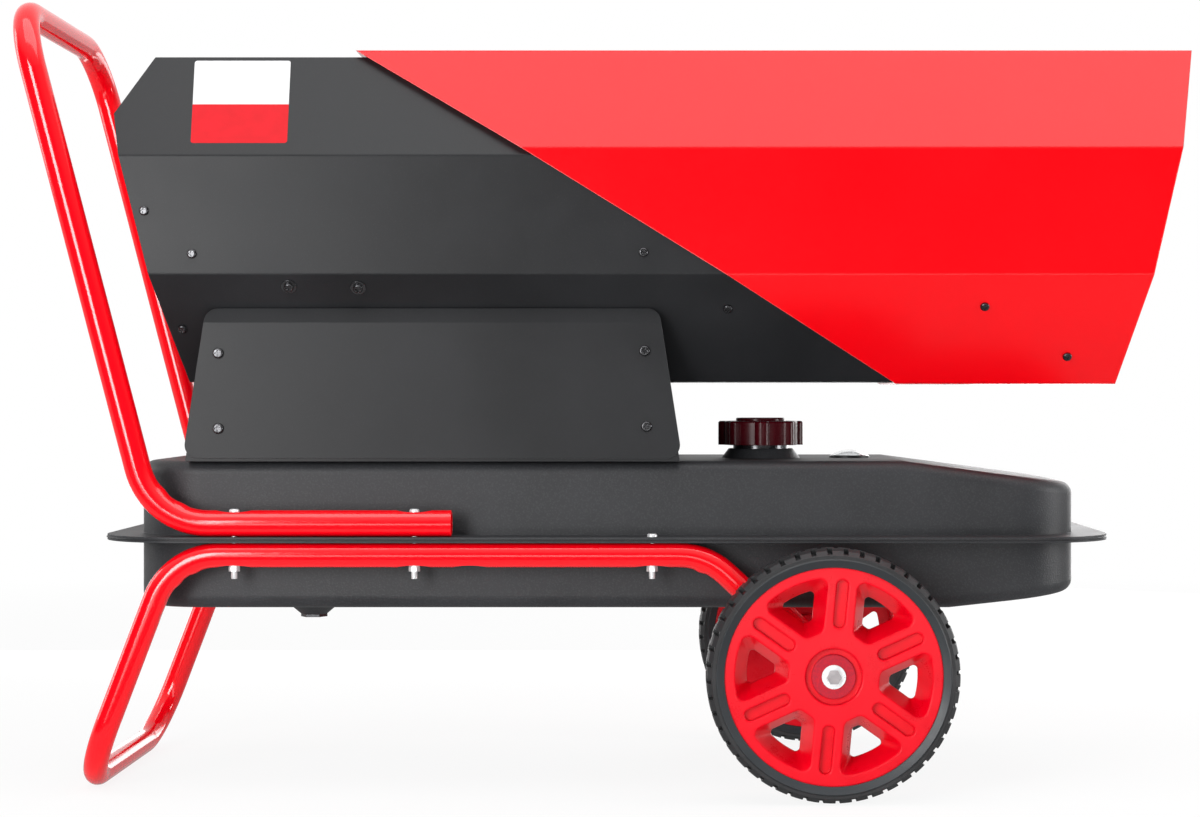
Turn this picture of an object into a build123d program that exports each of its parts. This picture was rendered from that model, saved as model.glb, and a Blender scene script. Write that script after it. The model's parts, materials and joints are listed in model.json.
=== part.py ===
"""Portable forced air heater on a wheeled tube frame.

Frame of the model: X runs from the push handle (-X) to the hot air outlet (+X),
Y runs from the plain right side (-Y) to the control side (+Y), Z is up.
The origin is on the floor, in the middle of the overall length and width.
All lengths are in millimetres and all angles in degrees.
"""

from build123d import *
import math
import os

os.makedirs("parts", exist_ok=True)

# ---------------------------------------------------------------- driving sizes

# Overall
overall_length = 1231.0  # rear of the push handle to the upper lip of the outlet
overall_height = 818.0  # floor to the top of the push handle
track_width = 510.0  # outside face to outside face of the tyres

# Clearances
seat_gap = 0.3  # between pieces that sit on each other
bore_gap = 0.05  # radial, round a shaft or a spindle that turns
bolt_gap = 0.4  # radial, round a bolt or a screw

# Tube frame
frame_tube_d = 25.0
handle_tube_d = 27.0
tube_wall = 1.6
wheel_frame_gap = 2.5  # side tubes to the tyres
lower_rail_z = 244.0
frame_foot_x = -532.0
rear_corner_x = -444.0
front_corner_x = 102.0
frame_bend_r = 70.0
foot_bend_r = 65.0
handle_corner_x = -464.0
handle_front_x = -158.0
handle_bend_r = 75.0
handle_top_bend_r = 65.0
dimple_depth = 2.2
dimple_r = 80.0

# Frame bolts
long_bolt_x = (-380.0, -196.0)  # through handle, tank flange and lower frame
short_bolt_x = 47.0  # through tank flange and lower frame
spare_dimple_x = -139.0  # pressed flat with no bolt in it
bolt_d = 6.0
bolt_head_d = 10.4
bolt_head_h = 3.3
bolt_crown_r = 2.0
nut_flats = 10.0
nut_h = 5.0
washer_t = 1.2
thread_end = 7.5  # bolt thread that shows past its nut

# Wheels and axle
wheel_d = 254.0
wheel_w = 60.0
axle_x = 228.0
axle_d = 16.0
axle_tube_wall = 3.0
axle_tube_inset = 2.3  # axle tube's ends, in from the tyres' inner faces
rim_r = 109.0
rim_band_t = 9.0
rim_edge = 5.0  # rim band and web, in from the tyre's side faces
spoke_w = 29.0
spoke_count = 6
spoke_turn = 24.5  # of one spoke from level
spoke_back_w = 51.0  # spokes and windows taper through the web
window_inner_r = 46.0
window_outer_r = 99.0
window_corner_r = 8.0
window_back_inner_r = 58.0
window_back_outer_r = 86.0
window_back_corner_r = 4.0
slot_w = 11.5
slot_inner_r = 49.0
slot_outer_r = 97.0
slot_depth = 7.0
web_t = 30.0
hub_r = 22.0
hub_recess_r = 28.0
hub_recess_depth = 6.0
hub_end = 8.0  # hub's outer end, in from the tyre's outer face
hub_inset = 2.0  # hub's inner end, in from the tyre's inner face
rim_soft_r = 2.0  # rounding of the web's outer edges
tread_count = 48
tread_gap = 4.8
tread_depth = 5.0
tyre_shoulder_r = 121.0
tyre_ridge_r = 116.5
tyre_side_set = 1.5
tyre_shoulder_set = 7.0
axle_washer_r = 12.0
axle_washer_t = 2.0
axle_bolt_flats = 13.0
axle_bolt_head_h = 5.0
axle_bolt_length = 22.0
bolt_bore_r = 4.0

# Fuel tank
tank_rear_x = -492.0
tank_front_x = 491.0
tank_rail_gap = 17.5  # tank's sides to the side tubes
tank_top_z = 339.0
tank_bottom_z = 187.0
tank_top_break_x = 308.0
tank_top_end_x = 475.0
tank_top_end_z = 317.0
tank_bottom_break_x = 355.0
tank_bottom_end_x = 455.0
tank_bottom_end_z = 198.0
tank_corner_r = 72.0
tank_edge_r = 13.0
tank_sheet = 1.5
flange_t = 2.9  # each half's rim, a doubled sheet
flange_end_w = 33.0
flange_over_rail = 12.0  # flange's edge, out from the side tubes' centre lines
flange_corner_r = 92.0
sump_x = -323.0
sump_r = 38.0
sump_end_r = 14.0
sump_depth = 18.5
drain_plug_h = 3.0
drain_bore_r = 6.0

# Filler and fuel gauge
filler_x = 165.0
neck_boss_r = 44.0
neck_boss_top_r = 35.0
neck_boss_h = 10.0
neck_r = 30.0
neck_wall = 2.5
neck_h = 33.0  # above the tank's top
cap_r = 41.0
cap_lobe_r = 8.0
cap_lobe_count = 8
cap_h = 26.0
cap_lobe_set = 2.7  # lobes' centres, in from the cap's radius
cap_edge_r = 2.5
cap_neck_gap = 4.0  # radial, between the cap's bore and the neck
cap_roof_t = 4.0
cap_disc_r = 27.0
cap_disc_h = 3.5
cap_gasket_t = 2.5
strainer_depth = 48.0
strainer_r = 22.0
strainer_wall = 1.2
gauge_x = 262.0
gauge_r = 22.0
gauge_dome_h = 6.5
gauge_stem_r = 7.0
gauge_hole_r = 17.0
gauge_flange_t = 2.0
gauge_rim_w = 4.0
gauge_lug_t = 2.0
gauge_needle_w = 1.4
gauge_needle_t = 0.8
gauge_needle_lift = 0.5
gauge_needle_hub_r = 2.5
lens_wall = 1.5
float_pivot_drop = 40.0
float_arm_length = 120.0
float_r = 13.0
float_wire_d = 3.0

# Fuel and air lines
hose_r = 4.0
hose_bend_r = 26.0
air_bend_r = 14.0
pickup_x = 20.0
pickup_lift = 6.0  # hose's open end, above the tank's floor
fuel_y = 14.0
air_y = -14.0
air_drop_x = -399.0
air_jog_z = 500.0
pedestal_run_z = 372.0
filter_rear_x = -96.0
filter_r = 13.0
filter_length = 54.0
filter_neck = 9.0
filter_edge_r = 2.5

# Casing
casing_sheet = 1.2
casing_flat_half = 97.0  # half width of the top and bottom faces
casing_half_w = 177.0
casing_bottom_z = 421.0
casing_lower_bend_z = 531.0
casing_upper_bend_z = 653.0
casing_top_z = 764.0
bend_r = 5.0
rear_bottom_x = -441.0
rear_peak_x = -511.0
rear_peak_z = 699.0
rear_top_x = -477.0
seam_top_x = -266.0
seam_bottom_x = 304.0
seam_lap = 16.0
mouth_bottom_x = 535.0
lip_w = 12.0
front_top_gap = 7.0
front_upper_gap = 6.0
front_side_gap = 1.6
front_bottom_gap = 2.0
casing_screw_d = 5.0
casing_screw_head_d = 9.5
casing_screw_head_h = 3.2
casing_screw_length = 9.0
screw_crown_share = 0.55  # rounding of a screw's head, of the head's height
cross_slot_share = 0.6  # a screw's cross slot, of the head's width
cross_slot_parts = 6  # slot's width is this part of the head's
washer_screw_d = 6.0
washer_screw_head_d = 10.0
washer_screw_washer_d = 16.0

# (X, Z) of the screws on each side of the casing
rear_flat_screws = ((-473.0, 596.0), (-424.0, 552.0), (38.0, 553.5))
rear_slope_screws = ((-441.0, 476.5), (125.0, 497.0))
front_slope_screws = ((390.0, 500.0), (481.0, 449.0))
washer_slope_screws = ((-326.0, 519.0), (-255.0, 518.0))

# Pedestal
cover_y = 160.0  # outside of the side covers
cover_sheet = 1.5
cover_low_z = 342.0
cover_bend_z = 482.0
cover_top_z = 497.0
cover_low_rear_x = -437.0
cover_low_front_x = 78.0
cover_top_rear_x = -413.0
cover_top_front_x = 54.0
cover_corner_r = 14.0
cover_end_margin = 3.0  # end walls set in from the covers' edges
cover_screws_xz = ((-400.0, 450.5), (-400.0, 373.0), (39.0, 453.0), (41.0, 375.0))
cover_screw_d = 5.0
cover_screw_head_d = 11.0
cover_screw_head_h = 3.5
cover_screw_length = 10.0
base_floor_t = 2.0
base_window_rear_x = -360.0
base_window_front_x = 0.0
base_window_low_z = 352.0

# Control panel
panel_x = -180.0
panel_z = 412.0
panel_w = 250.0
panel_h = 96.0
panel_t = 2.5
panel_frame_w = 10.0
knob_x = -262.0
knob_r = 20.0
knob_h = 17.0
knob_draft = 4.0
knob_edge_r = 2.0
knob_rib_w = 3.0
knob_rib_h = 2.0
knob_spindle_r = 3.0
switch_x = -205.0
switch_w = 16.0
switch_h = 27.0
switch_pivot_depth = 5.0
switch_pin_r = 1.5
switch_gap = 1.0
switch_high = 4.5  # raised end, out from the panel
switch_low = 1.0  # sunk half, out from the panel
display_x = -153.0
display_w = 48.0
display_h = 24.0
display_depth = 5.0
display_stand = 1.5  # out from the panel
inlet_x = -96.0
inlet_w = 36.0
inlet_h = 28.0
inlet_wall = 3.0
inlet_depth = 17.0
inlet_stand = 2.0  # out from the panel
inlet_body_depth = 20.0
pin_w = 2.0
pin_h = 6.0
pin_set = 5.0  # pins' ends, in from the inlet's mouth
pin_places = ((-7.5, -2.5), (7.5, -2.5), (0.0, 2.5))
board_t = 1.6
board_w = 120.0
board_h = 66.0
board_y = 92.0
board_post_h = 22.0
board_lift = 8.0
board_parts_rise = 39.6  # relay and capacitor, above the board's foot
relay_size = (28.0, 15.0, 18.0)
capacitor_size = (18.0, 12.0, 22.0)
transformer_size = (84.0, 60.0, 52.0)
transformer_foot = 10.0
transformer_foot_t = 3.0
transformer_edge_r = 5.0

# Air duct and burner
bulkhead_x = -275.0
shroud_r = 140.0
shroud_w = 26.0
shield_r = 150.0
shield_wall = 1.0
shield_front_x = 522.0
shield_tab_x = 380.0
chamber_rear_x = -90.0
chamber_front_x = 486.0
chamber_r = 115.0
chamber_wall = 1.5
chamber_tab_rear_x = -60.0
tab_w = 24.0
tab_t = 2.0
chamber_tab_count = 3
diffuser_x = 430.0
diffuser_r = 72.0
diffuser_leg_w = 16.0
diffuser_leg_turn = 30.0
diffuser_hole_count = 6
burner_r = 48.0
burner_flange_w = 12.0
burner_length = 58.0
swirl_ring_r = 37.5
swirl_hole_count = 12
swirl_hole_r = 3.5
swirl_turn = 10.0
nozzle_r = 13.0
nozzle_length = 36.0  # in front of the burner's rear plate
nozzle_block_h = 20.0
nozzle_tip_w = 6.0
electrode_r = 4.0
electrode_spread = 24.0
electrode_wire_end = 10.0
electrode_tail = 14.5  # ceramics, behind the burner's rear plate
photocell_r = 7.0
photocell_edge_r = 2.0
photocell_yz = (32.0, 12.0)  # from the air axis

# Motor, fan, air pump and fan guard
motor_r = 50.0
motor_rear_x = -412.0
motor_front_x = -312.0
motor_bell_r = 38.0
motor_bell_w = 9.0
motor_edge_r = 3.0
fin_count = 24
fin_h = 2.0
shaft_r = 6.0
shaft_reach = 20.0  # past the bulkhead
mount_ring_t = 3.0
mount_ring_w = 34.0
mount_foot_w = 110.0
mount_foot_t = 2.5
mount_post_w = 64.0
fan_r = 134.0
fan_hub_r = 26.0
fan_w = 30.0
fan_blade_count = 6
fan_blade_chord = 62.0
fan_blade_t = 2.0
fan_pitch = 27.0
pump_r = 36.0
pump_w = 24.0
pump_cavity_r = 24.0
pump_cavity_w = 16.0
pump_port_wall = 3.0
pump_rotor_r = 22.0
pump_rotor_gap = 1.0  # rotor's ends to the cavity's
vane_count = 4
vane_slot_w = 2.5
vane_slot_depth = 8.0
pump_cover_t = 8.0
pump_edge_r = 2.0
pump_screw_set = 6.0  # screws' centres, in from the rim
pump_screw_count = 6
pump_screw_r = 2.6
pump_screw_h = 2.5
pressure_gauge_r = 17.0
pressure_gauge_w = 12.0
pressure_gauge_y = 0.0
pressure_gauge_rise = 56.0
pressure_dial_depth = 3.0
pressure_bezel_w = 2.0
pressure_pin_r = 1.0
pressure_pin_h = 1.0
pressure_needle_hub_r = 2.2
pressure_needle_w = 1.2
pressure_needle_length = 12.75
pressure_needle_t = 0.7
guard_t = 1.5
guard_slot_l = 70.0
guard_slot_w = 8.0
guard_pitch_y = 80.0
guard_pitch_z = 16.0
guard_columns = 3
guard_rows = 13
guard_middle_z = 582.0

# ------------------------------------------------------------- derived frame sizes

axle_z = wheel_d / 2
wheel_inner_y = track_width / 2 - wheel_w
rail_r = frame_tube_d / 2
rail_y = wheel_inner_y - wheel_frame_gap - rail_r
flange_half_w = rail_y + flange_over_rail
tank_half_w = rail_y - rail_r - tank_rail_gap
handle_r = handle_tube_d / 2
tank_seam_z = lower_rail_z + rail_r + seat_gap + flange_t
handle_rail_z = tank_seam_z + flange_t + seat_gap + handle_r
handle_bar_x = handle_r - overall_length / 2
handle_bar_z = overall_height - handle_r
foot_z = rail_r
both_sides = (-1, 1)
rising = (Align.CENTER, Align.CENTER, Align.MIN)
hanging = (Align.CENTER, Align.CENTER, Align.MAX)


# ------------------------------------------------------------------ shared shapes


def save(piece, name):
    """Label a finished piece and write it out."""
    piece.label = name
    export_step(piece, f"parts/{name}.step")


def bent_tube(points, radii, outer_r, wall):
    """A round tube, open at both ends, along straight runs joined by arcs."""
    with BuildPart() as tube:
        with BuildLine() as route:
            FilletPolyline(*points, radius=radii)
        start = Plane(origin=route.line @ 0, z_dir=route.line % 0)
        with BuildSketch(start):
            Circle(outer_r)
            Circle(outer_r - wall, mode=Mode.SUBTRACT)
        sweep()
    return tube.part


def hose(points, radii, outer_r):
    """A full round hose or wire along straight runs joined by arcs."""
    with BuildPart() as line:
        with BuildLine() as route:
            FilletPolyline(*points, radius=radii)
        with BuildSketch(Plane(origin=route.line @ 0, z_dir=route.line % 0)):
            Circle(outer_r)
        sweep()
    return line.part


def tank_block(edge_z, side_sign, flat_z, break_x, end_x, end_z, inset):
    """One half of the tank as a full block, up or down from the seam."""
    flat = flat_z - side_sign * inset
    slope = side_sign * (flat_z - end_z) / (end_x - break_x)
    front = tank_front_x - inset
    front_z = flat - side_sign * slope * (front - break_x)
    with BuildPart() as block:
        with BuildSketch(Plane.XZ):
            Polygon(
                (tank_rear_x + inset, edge_z),
                (tank_rear_x + inset, flat),
                (break_x, flat),
                (front, front_z),
                (front, edge_z),
                align=None,
            )
        extrude(amount=tank_half_w, both=True)
        middle_x = (tank_rear_x + tank_front_x) / 2
        length = tank_front_x - tank_rear_x - 2 * inset
        with BuildSketch(Plane.XY.offset(min(flat, edge_z) - 2 * tank_edge_r)):
            with Locations((middle_x, 0)):
                RectangleRounded(length, 2 * (tank_half_w - inset), tank_corner_r - inset)
        extrude(amount=abs(flat - edge_z) + 4 * tank_edge_r, mode=Mode.INTERSECT)
        outer_faces = block.faces().filter_by(lambda f: side_sign * f.normal_at().Z > 0.9)
        fillet(outer_faces.edges(), tank_edge_r - inset)
    return block.part


def flange_ring(low_z, high_z):
    """The flat rim round one tank half, before its bolt holes."""
    with BuildPart() as ring:
        with BuildSketch(Plane.XY.offset(low_z)):
            middle_x = (tank_rear_x + tank_front_x) / 2
            with Locations((middle_x, 0)):
                length = tank_front_x - tank_rear_x
                RectangleRounded(
                    length + 2 * flange_end_w, 2 * flange_half_w, flange_corner_r
                )
                RectangleRounded(
                    length - 2 * tank_sheet,
                    2 * (tank_half_w - tank_sheet),
                    tank_corner_r - tank_sheet,
                    mode=Mode.SUBTRACT,
                )
        extrude(amount=high_z - low_z)
    return ring.part


def pressed_wall(middles, side, tube_z, tube_r, dimple_z):
    """The tube wall that dimples have pushed inwards, before its outside is pressed."""
    run = max(middles) - min(middles) + 2 * dimple_r
    with BuildPart() as wall:
        with Locations(*[(x, side * rail_y, dimple_z) for x in middles]):
            Cylinder(dimple_r + tube_wall, 2 * tube_r, rotation=(90, 0, 0))
        with Locations(((max(middles) + min(middles)) / 2, side * rail_y, tube_z)):
            Cylinder(tube_r - seat_gap, run, rotation=(0, 90, 0), mode=Mode.INTERSECT)
    return wall.part


# ---------------------------------------------------------------------- lower frame

rail_bolt_x = (*long_bolt_x, short_bolt_x)
frame_tube = bent_tube(
    [
        (axle_x, -rail_y, axle_z),
        (front_corner_x, -rail_y, lower_rail_z),
        (rear_corner_x, -rail_y, lower_rail_z),
        (frame_foot_x, -rail_y, foot_z),
        (frame_foot_x, rail_y, foot_z),
        (rear_corner_x, rail_y, lower_rail_z),
        (front_corner_x, rail_y, lower_rail_z),
        (axle_x, rail_y, axle_z),
    ],
    [frame_bend_r, frame_bend_r, foot_bend_r, foot_bend_r, frame_bend_r, frame_bend_r],
    rail_r,
    tube_wall,
)
axle_tube_r = axle_d / 2 + bolt_gap + axle_tube_wall
axle_tube_end = wheel_inner_y - axle_tube_inset

with BuildPart() as lower_frame:
    add(frame_tube)
    with Locations(Location((axle_x, 0, axle_z), (90, 0, 0))):
        Cylinder(axle_tube_r, 2 * axle_tube_end)
        Cylinder(axle_d / 2 + bolt_gap, 2 * track_width, mode=Mode.SUBTRACT)
    dimple_z = lower_rail_z - rail_r - dimple_r + dimple_depth
    dimple_x = (*rail_bolt_x, spare_dimple_x)
    for side in both_sides:
        add(pressed_wall(dimple_x, side, lower_rail_z, rail_r, dimple_z))
        with Locations(*[(x, side * rail_y, dimple_z) for x in dimple_x]):
            Cylinder(dimple_r, frame_tube_d, rotation=(90, 0, 0), mode=Mode.SUBTRACT)
        with Locations(*[(x, side * rail_y, lower_rail_z) for x in rail_bolt_x]):
            Cylinder(bolt_d / 2 + bolt_gap, 2 * frame_tube_d, mode=Mode.SUBTRACT)
save(lower_frame.part, "lower_frame")

# --------------------------------------------------------------------- push handle

handle_tube = bent_tube(
    [
        (handle_front_x, -rail_y, handle_rail_z),
        (handle_corner_x, -rail_y, handle_rail_z),
        (handle_bar_x, -rail_y, handle_bar_z),
        (handle_bar_x, rail_y, handle_bar_z),
        (handle_corner_x, rail_y, handle_rail_z),
        (handle_front_x, rail_y, handle_rail_z),
    ],
    [handle_bend_r, handle_top_bend_r, handle_top_bend_r, handle_bend_r],
    handle_r,
    tube_wall,
)

with BuildPart() as push_handle:
    add(handle_tube)
    dimple_z = handle_rail_z + handle_r + dimple_r - dimple_depth
    for side in both_sides:
        add(pressed_wall(long_bolt_x, side, handle_rail_z, handle_r, dimple_z))
        with Locations(*[(x, side * rail_y, dimple_z) for x in long_bolt_x]):
            Cylinder(dimple_r, handle_tube_d, rotation=(90, 0, 0), mode=Mode.SUBTRACT)
        with Locations(*[(x, side * rail_y, handle_rail_z) for x in long_bolt_x]):
            Cylinder(bolt_d / 2 + bolt_gap, 2 * handle_tube_d, mode=Mode.SUBTRACT)
save(push_handle.part, "push_handle")

# --------------------------------------------------------------------- frame bolts

dimple_rise = (bolt_head_d / 2) ** 2 / (2 * dimple_r) + bore_gap
nut_top_z = lower_rail_z - rail_r + dimple_depth - dimple_rise - washer_t
long_head_z = handle_rail_z + handle_r - dimple_depth + dimple_rise
short_head_z = tank_seam_z + flange_t


def frame_bolt(x, y, head_z):
    """A round headed bolt from head_z down through the lower rail, with washer and nut."""
    foot = nut_top_z - nut_h - thread_end
    with Locations((x, y, head_z)):
        Cylinder(bolt_head_d / 2, bolt_head_h, align=rising)
        Cylinder(bolt_d / 2, head_z - foot, align=hanging)
    with Locations((x, y, nut_top_z)):
        Cylinder(bolt_head_d / 2, washer_t, align=rising)


with BuildPart() as frame_bolts:
    for side in both_sides:
        for bolt_x in long_bolt_x:
            frame_bolt(bolt_x, side * rail_y, long_head_z)
        frame_bolt(short_bolt_x, side * rail_y, short_head_z)
    head_tops = (long_head_z + bolt_head_h, short_head_z + bolt_head_h)
    crowns = frame_bolts.edges().filter_by(
        lambda e: any(abs(e.center().Z - top) < bore_gap for top in head_tops)
    )
    fillet(crowns, bolt_crown_r)
    with BuildSketch(Plane.XY.offset(nut_top_z - nut_h)):
        with Locations(*[(x, s * rail_y) for s in both_sides for x in rail_bolt_x]):
            RegularPolygon(nut_flats / 2, 6, major_radius=False)
    extrude(amount=nut_h)
save(frame_bolts.part, "frame_bolts")

# ------------------------------------------------------------------ wheels and axle

hub_outer_y = track_width / 2 - hub_end
hub_inner_y = wheel_inner_y + hub_inset
spacer_inner_y = axle_tube_end + seat_gap
spacer_outer_y = hub_inner_y - seat_gap
axle_end_y = hub_outer_y + seat_gap
web_outer_y = track_width / 2 - rim_edge
web_inner_y = web_outer_y - web_t


def wheel_plane(y, side):
    """A plane square to the axle at y, with its normal pointing out of the heater."""
    return Plane(origin=(axle_x, side * y, axle_z), x_dir=(side, 0, 0), z_dir=(0, side, 0))


def spoke_places():
    """Places of the spokes round the wheel plane's centre."""
    return PolarLocations(0, spoke_count, start_angle=spoke_turn)


def window_outline(z, width, inner_r, outer_r, corner_r):
    """One window's rounded outline at a depth, between two spokes of a width."""
    corners = []
    for r in (inner_r, outer_r):
        turn = math.pi / spoke_count - math.asin(width / 2 / r)
        corners.append((r * math.cos(turn), r * math.sin(turn)))
    (near_x, near_y), (far_x, far_y) = corners
    with BuildSketch(Plane.XY.offset(z)) as outline:
        with BuildLine():
            Line((near_x, near_y), (far_x, far_y))
            ThreePointArc((far_x, far_y), (outer_r, 0), (far_x, -far_y))
            Line((far_x, -far_y), (near_x, -near_y))
            Line((near_x, -near_y), (near_x, near_y))
        make_face()
        fillet(outline.vertices(), corner_r)
    return outline.sketch


def make_windows():
    """The openings between the spokes, from the web's outer face at Z = 0 inwards."""
    outlines = (
        window_outline(0, spoke_w, window_inner_r, window_outer_r, window_corner_r),
        window_outline(
            -web_t, spoke_back_w, window_back_inner_r, window_back_outer_r, window_back_corner_r
        ),
    )
    with BuildPart() as window:
        loft([outline.face() for outline in outlines], ruled=True)
    with BuildPart() as windows:
        with PolarLocations(0, spoke_count, start_angle=spoke_turn + 180 / spoke_count):
            add(window.part)
    return windows.part


def make_rim(side):
    """A moulded wheel: hub, six slotted spokes and the band that carries the tyre."""
    web_face = wheel_plane(web_outer_y, side)
    with BuildPart() as rim:
        with BuildSketch(wheel_plane(wheel_inner_y + rim_edge, side)):
            Circle(rim_r - bore_gap)
            Circle(rim_r - rim_band_t, mode=Mode.SUBTRACT)
        extrude(amount=wheel_w - 2 * rim_edge)
        with BuildSketch(wheel_plane(web_inner_y, side)):
            Circle(rim_r - rim_band_t + bore_gap)
        extrude(amount=web_t)
        with BuildSketch(wheel_plane(web_outer_y - hub_recess_depth, side)):
            Circle(hub_recess_r)
        extrude(amount=hub_recess_depth, mode=Mode.SUBTRACT)
        with BuildSketch(wheel_plane(web_outer_y - slot_depth, side)):
            with spoke_places():
                with Locations(((slot_inner_r + slot_outer_r) / 2, 0)):
                    SlotOverall(slot_outer_r - slot_inner_r, slot_w)
        extrude(amount=slot_depth, mode=Mode.SUBTRACT)
        add(web_face * make_windows(), mode=Mode.SUBTRACT)
        outer_face = rim.faces().filter_by(Axis.Y).sort_by(Axis.Y)[0 if side < 0 else -1]
        soft_edges = outer_face.edges().filter_by(
            lambda e: e.geom_type != GeomType.CIRCLE or e.radius < rim_r - rim_band_t
        )
        fillet(soft_edges, rim_soft_r)
        with BuildSketch(wheel_plane(hub_inner_y, side)):
            Circle(hub_r)
        extrude(amount=hub_outer_y - hub_inner_y)
        with BuildSketch(wheel_plane(wheel_inner_y, side)):
            Circle(axle_d / 2 + bore_gap)
        extrude(amount=wheel_w, mode=Mode.SUBTRACT)
    return rim.part


def make_tyre(side):
    """A solid rubber tyre with two staggered rows of tread blocks."""
    tyre_r = wheel_d / 2
    half_w = wheel_w / 2
    half_profile = [
        (rim_r, half_w - rim_edge + tyre_side_set),
        (tyre_ridge_r - 2 * tyre_side_set, half_w - tyre_side_set),
        (tyre_ridge_r, half_w),
        (tyre_ridge_r + tyre_side_set, half_w - tyre_side_set),
        (tyre_shoulder_r, half_w - tyre_side_set),
        (tyre_r - tyre_side_set, half_w - tyre_shoulder_set),
        (tyre_r, half_w - 2 * tyre_shoulder_set),
    ]
    mirrored = [(r, -w) for r, w in reversed(half_profile)]
    with BuildPart() as tyre:
        with BuildSketch(Plane.XZ):
            Polygon(*half_profile, *mirrored, align=None)
        revolve(axis=Axis.Z)
        for row in both_sides:
            turn = row * 90 / tread_count
            with PolarLocations(tyre_r, tread_count, start_angle=turn):
                with Locations((0, 0, row * (half_w / 2 + tread_gap / 4))):
                    Box(2 * tread_depth, tread_gap, half_w, mode=Mode.SUBTRACT)
    return wheel_plane(track_width / 2 - half_w, side) * tyre.part


for side, side_name in ((-1, "right"), (1, "left")):
    save(make_rim(side), f"rim_{side_name}")
    save(make_tyre(side), f"tyre_{side_name}")

with BuildPart() as axle:
    with BuildSketch(Plane.XZ.offset(-axle_end_y)):
        with Locations((axle_x, axle_z)):
            Circle(axle_d / 2)
    extrude(amount=2 * axle_end_y)
    for side in both_sides:
        with BuildSketch(wheel_plane(axle_end_y, side)):
            Circle(bolt_bore_r + bore_gap)
        extrude(amount=-axle_bolt_length, mode=Mode.SUBTRACT)
save(axle.part, "axle")

with BuildPart() as axle_spacers:
    for side in both_sides:
        with BuildSketch(wheel_plane(spacer_inner_y, side)):
            Circle(axle_tube_r)
            Circle(axle_d / 2 + bore_gap, mode=Mode.SUBTRACT)
        extrude(amount=spacer_outer_y - spacer_inner_y)
save(axle_spacers.part, "axle_spacers")

with BuildPart() as wheel_washers:
    for side in both_sides:
        with BuildSketch(wheel_plane(axle_end_y, side)):
            Circle(axle_washer_r)
            Circle(bolt_bore_r + bolt_gap, mode=Mode.SUBTRACT)
        extrude(amount=axle_washer_t)
save(wheel_washers.part, "wheel_washers")

with BuildPart() as axle_bolts:
    head_y = axle_end_y + axle_washer_t
    for side in both_sides:
        with BuildSketch(wheel_plane(head_y, side)):
            RegularPolygon(axle_bolt_flats / 2, 6, major_radius=False)
        extrude(amount=axle_bolt_head_h)
        with BuildSketch(wheel_plane(head_y, side)):
            Circle(bolt_bore_r)
        extrude(amount=-(axle_bolt_length + axle_washer_t - seat_gap))
save(axle_bolts.part, "axle_bolts")

# ------------------------------------------------------------------------ fuel tank

flange_holes = [(x, s * rail_y) for s in both_sides for x in rail_bolt_x]

top_size = (1, tank_top_z, tank_top_break_x, tank_top_end_x, tank_top_end_z)
upper_outer = tank_block(tank_seam_z, *top_size, 0)
upper_rim = flange_ring(tank_seam_z, tank_seam_z + flange_t)
upper_core = tank_block(tank_seam_z, *top_size, tank_sheet)

with BuildPart() as tank_upper_shell:
    add(upper_outer)
    add(upper_rim)
    with Locations((filler_x, 0, tank_top_z - tank_sheet)):
        Cone(neck_boss_r, neck_boss_top_r, neck_boss_h + tank_sheet, align=rising)
    add(upper_core, mode=Mode.SUBTRACT)
    with Locations((filler_x, 0, tank_top_z)):
        Cylinder(neck_r + bore_gap, 4 * neck_boss_h, mode=Mode.SUBTRACT)
    with Locations((gauge_x, 0, tank_top_z)):
        Cylinder(gauge_hole_r, 4 * neck_boss_h, mode=Mode.SUBTRACT)
    with Locations((pickup_x, fuel_y, tank_top_z)):
        Cylinder(hose_r + bolt_gap, 4 * neck_boss_h, mode=Mode.SUBTRACT)
    with Locations(*[(x, y, tank_seam_z) for x, y in flange_holes]):
        Cylinder(bolt_d / 2 + bolt_gap, 4 * flange_t, mode=Mode.SUBTRACT)
save(tank_upper_shell.part, "tank_upper_shell")

bottom_size = (-1, tank_bottom_z, tank_bottom_break_x, tank_bottom_end_x, tank_bottom_end_z)
lower_outer = tank_block(tank_seam_z, *bottom_size, 0)
lower_core = tank_block(tank_seam_z, *bottom_size, tank_sheet)
lower_rim = flange_ring(tank_seam_z - flange_t, tank_seam_z)

with BuildPart() as tank_lower_shell:
    add(lower_outer)
    add(lower_rim)
    add(lower_core, mode=Mode.SUBTRACT)
    with Locations((sump_x, 0, tank_bottom_z + tank_sheet)):
        Cone(sump_end_r, sump_r, sump_depth + tank_sheet, align=hanging)
        Cone(
            sump_end_r - tank_sheet,
            sump_r - tank_sheet,
            sump_depth,
            align=hanging,
            mode=Mode.SUBTRACT,
        )
        Cylinder(drain_bore_r + bolt_gap, 4 * sump_depth, mode=Mode.SUBTRACT)
    with Locations(*[(x, y, tank_seam_z) for x, y in flange_holes]):
        Cylinder(bolt_d / 2 + bolt_gap, 4 * flange_t, mode=Mode.SUBTRACT)
save(tank_lower_shell.part, "tank_lower_shell")

sump_end_z = tank_bottom_z - sump_depth
with BuildPart() as drain_plug:
    with BuildSketch(Plane.XY.offset(sump_end_z)):
        with Locations((sump_x, 0)):
            RegularPolygon(sump_end_r - tank_sheet, 6, major_radius=False)
    extrude(amount=-drain_plug_h)
    with BuildSketch(Plane.XY.offset(sump_end_z)):
        with Locations((sump_x, 0)):
            Circle(drain_bore_r)
    extrude(amount=3 * tank_sheet)
save(drain_plug.part, "drain_plug")

# ------------------------------------------------------- filler, cap and fuel gauge

neck_top_z = tank_top_z + neck_h
cap_roof_z = neck_top_z + 2 * seat_gap + cap_gasket_t
cap_top_z = cap_roof_z + cap_roof_t
cap_low_z = cap_top_z - cap_h
cap_bore_r = neck_r + cap_neck_gap

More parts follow.
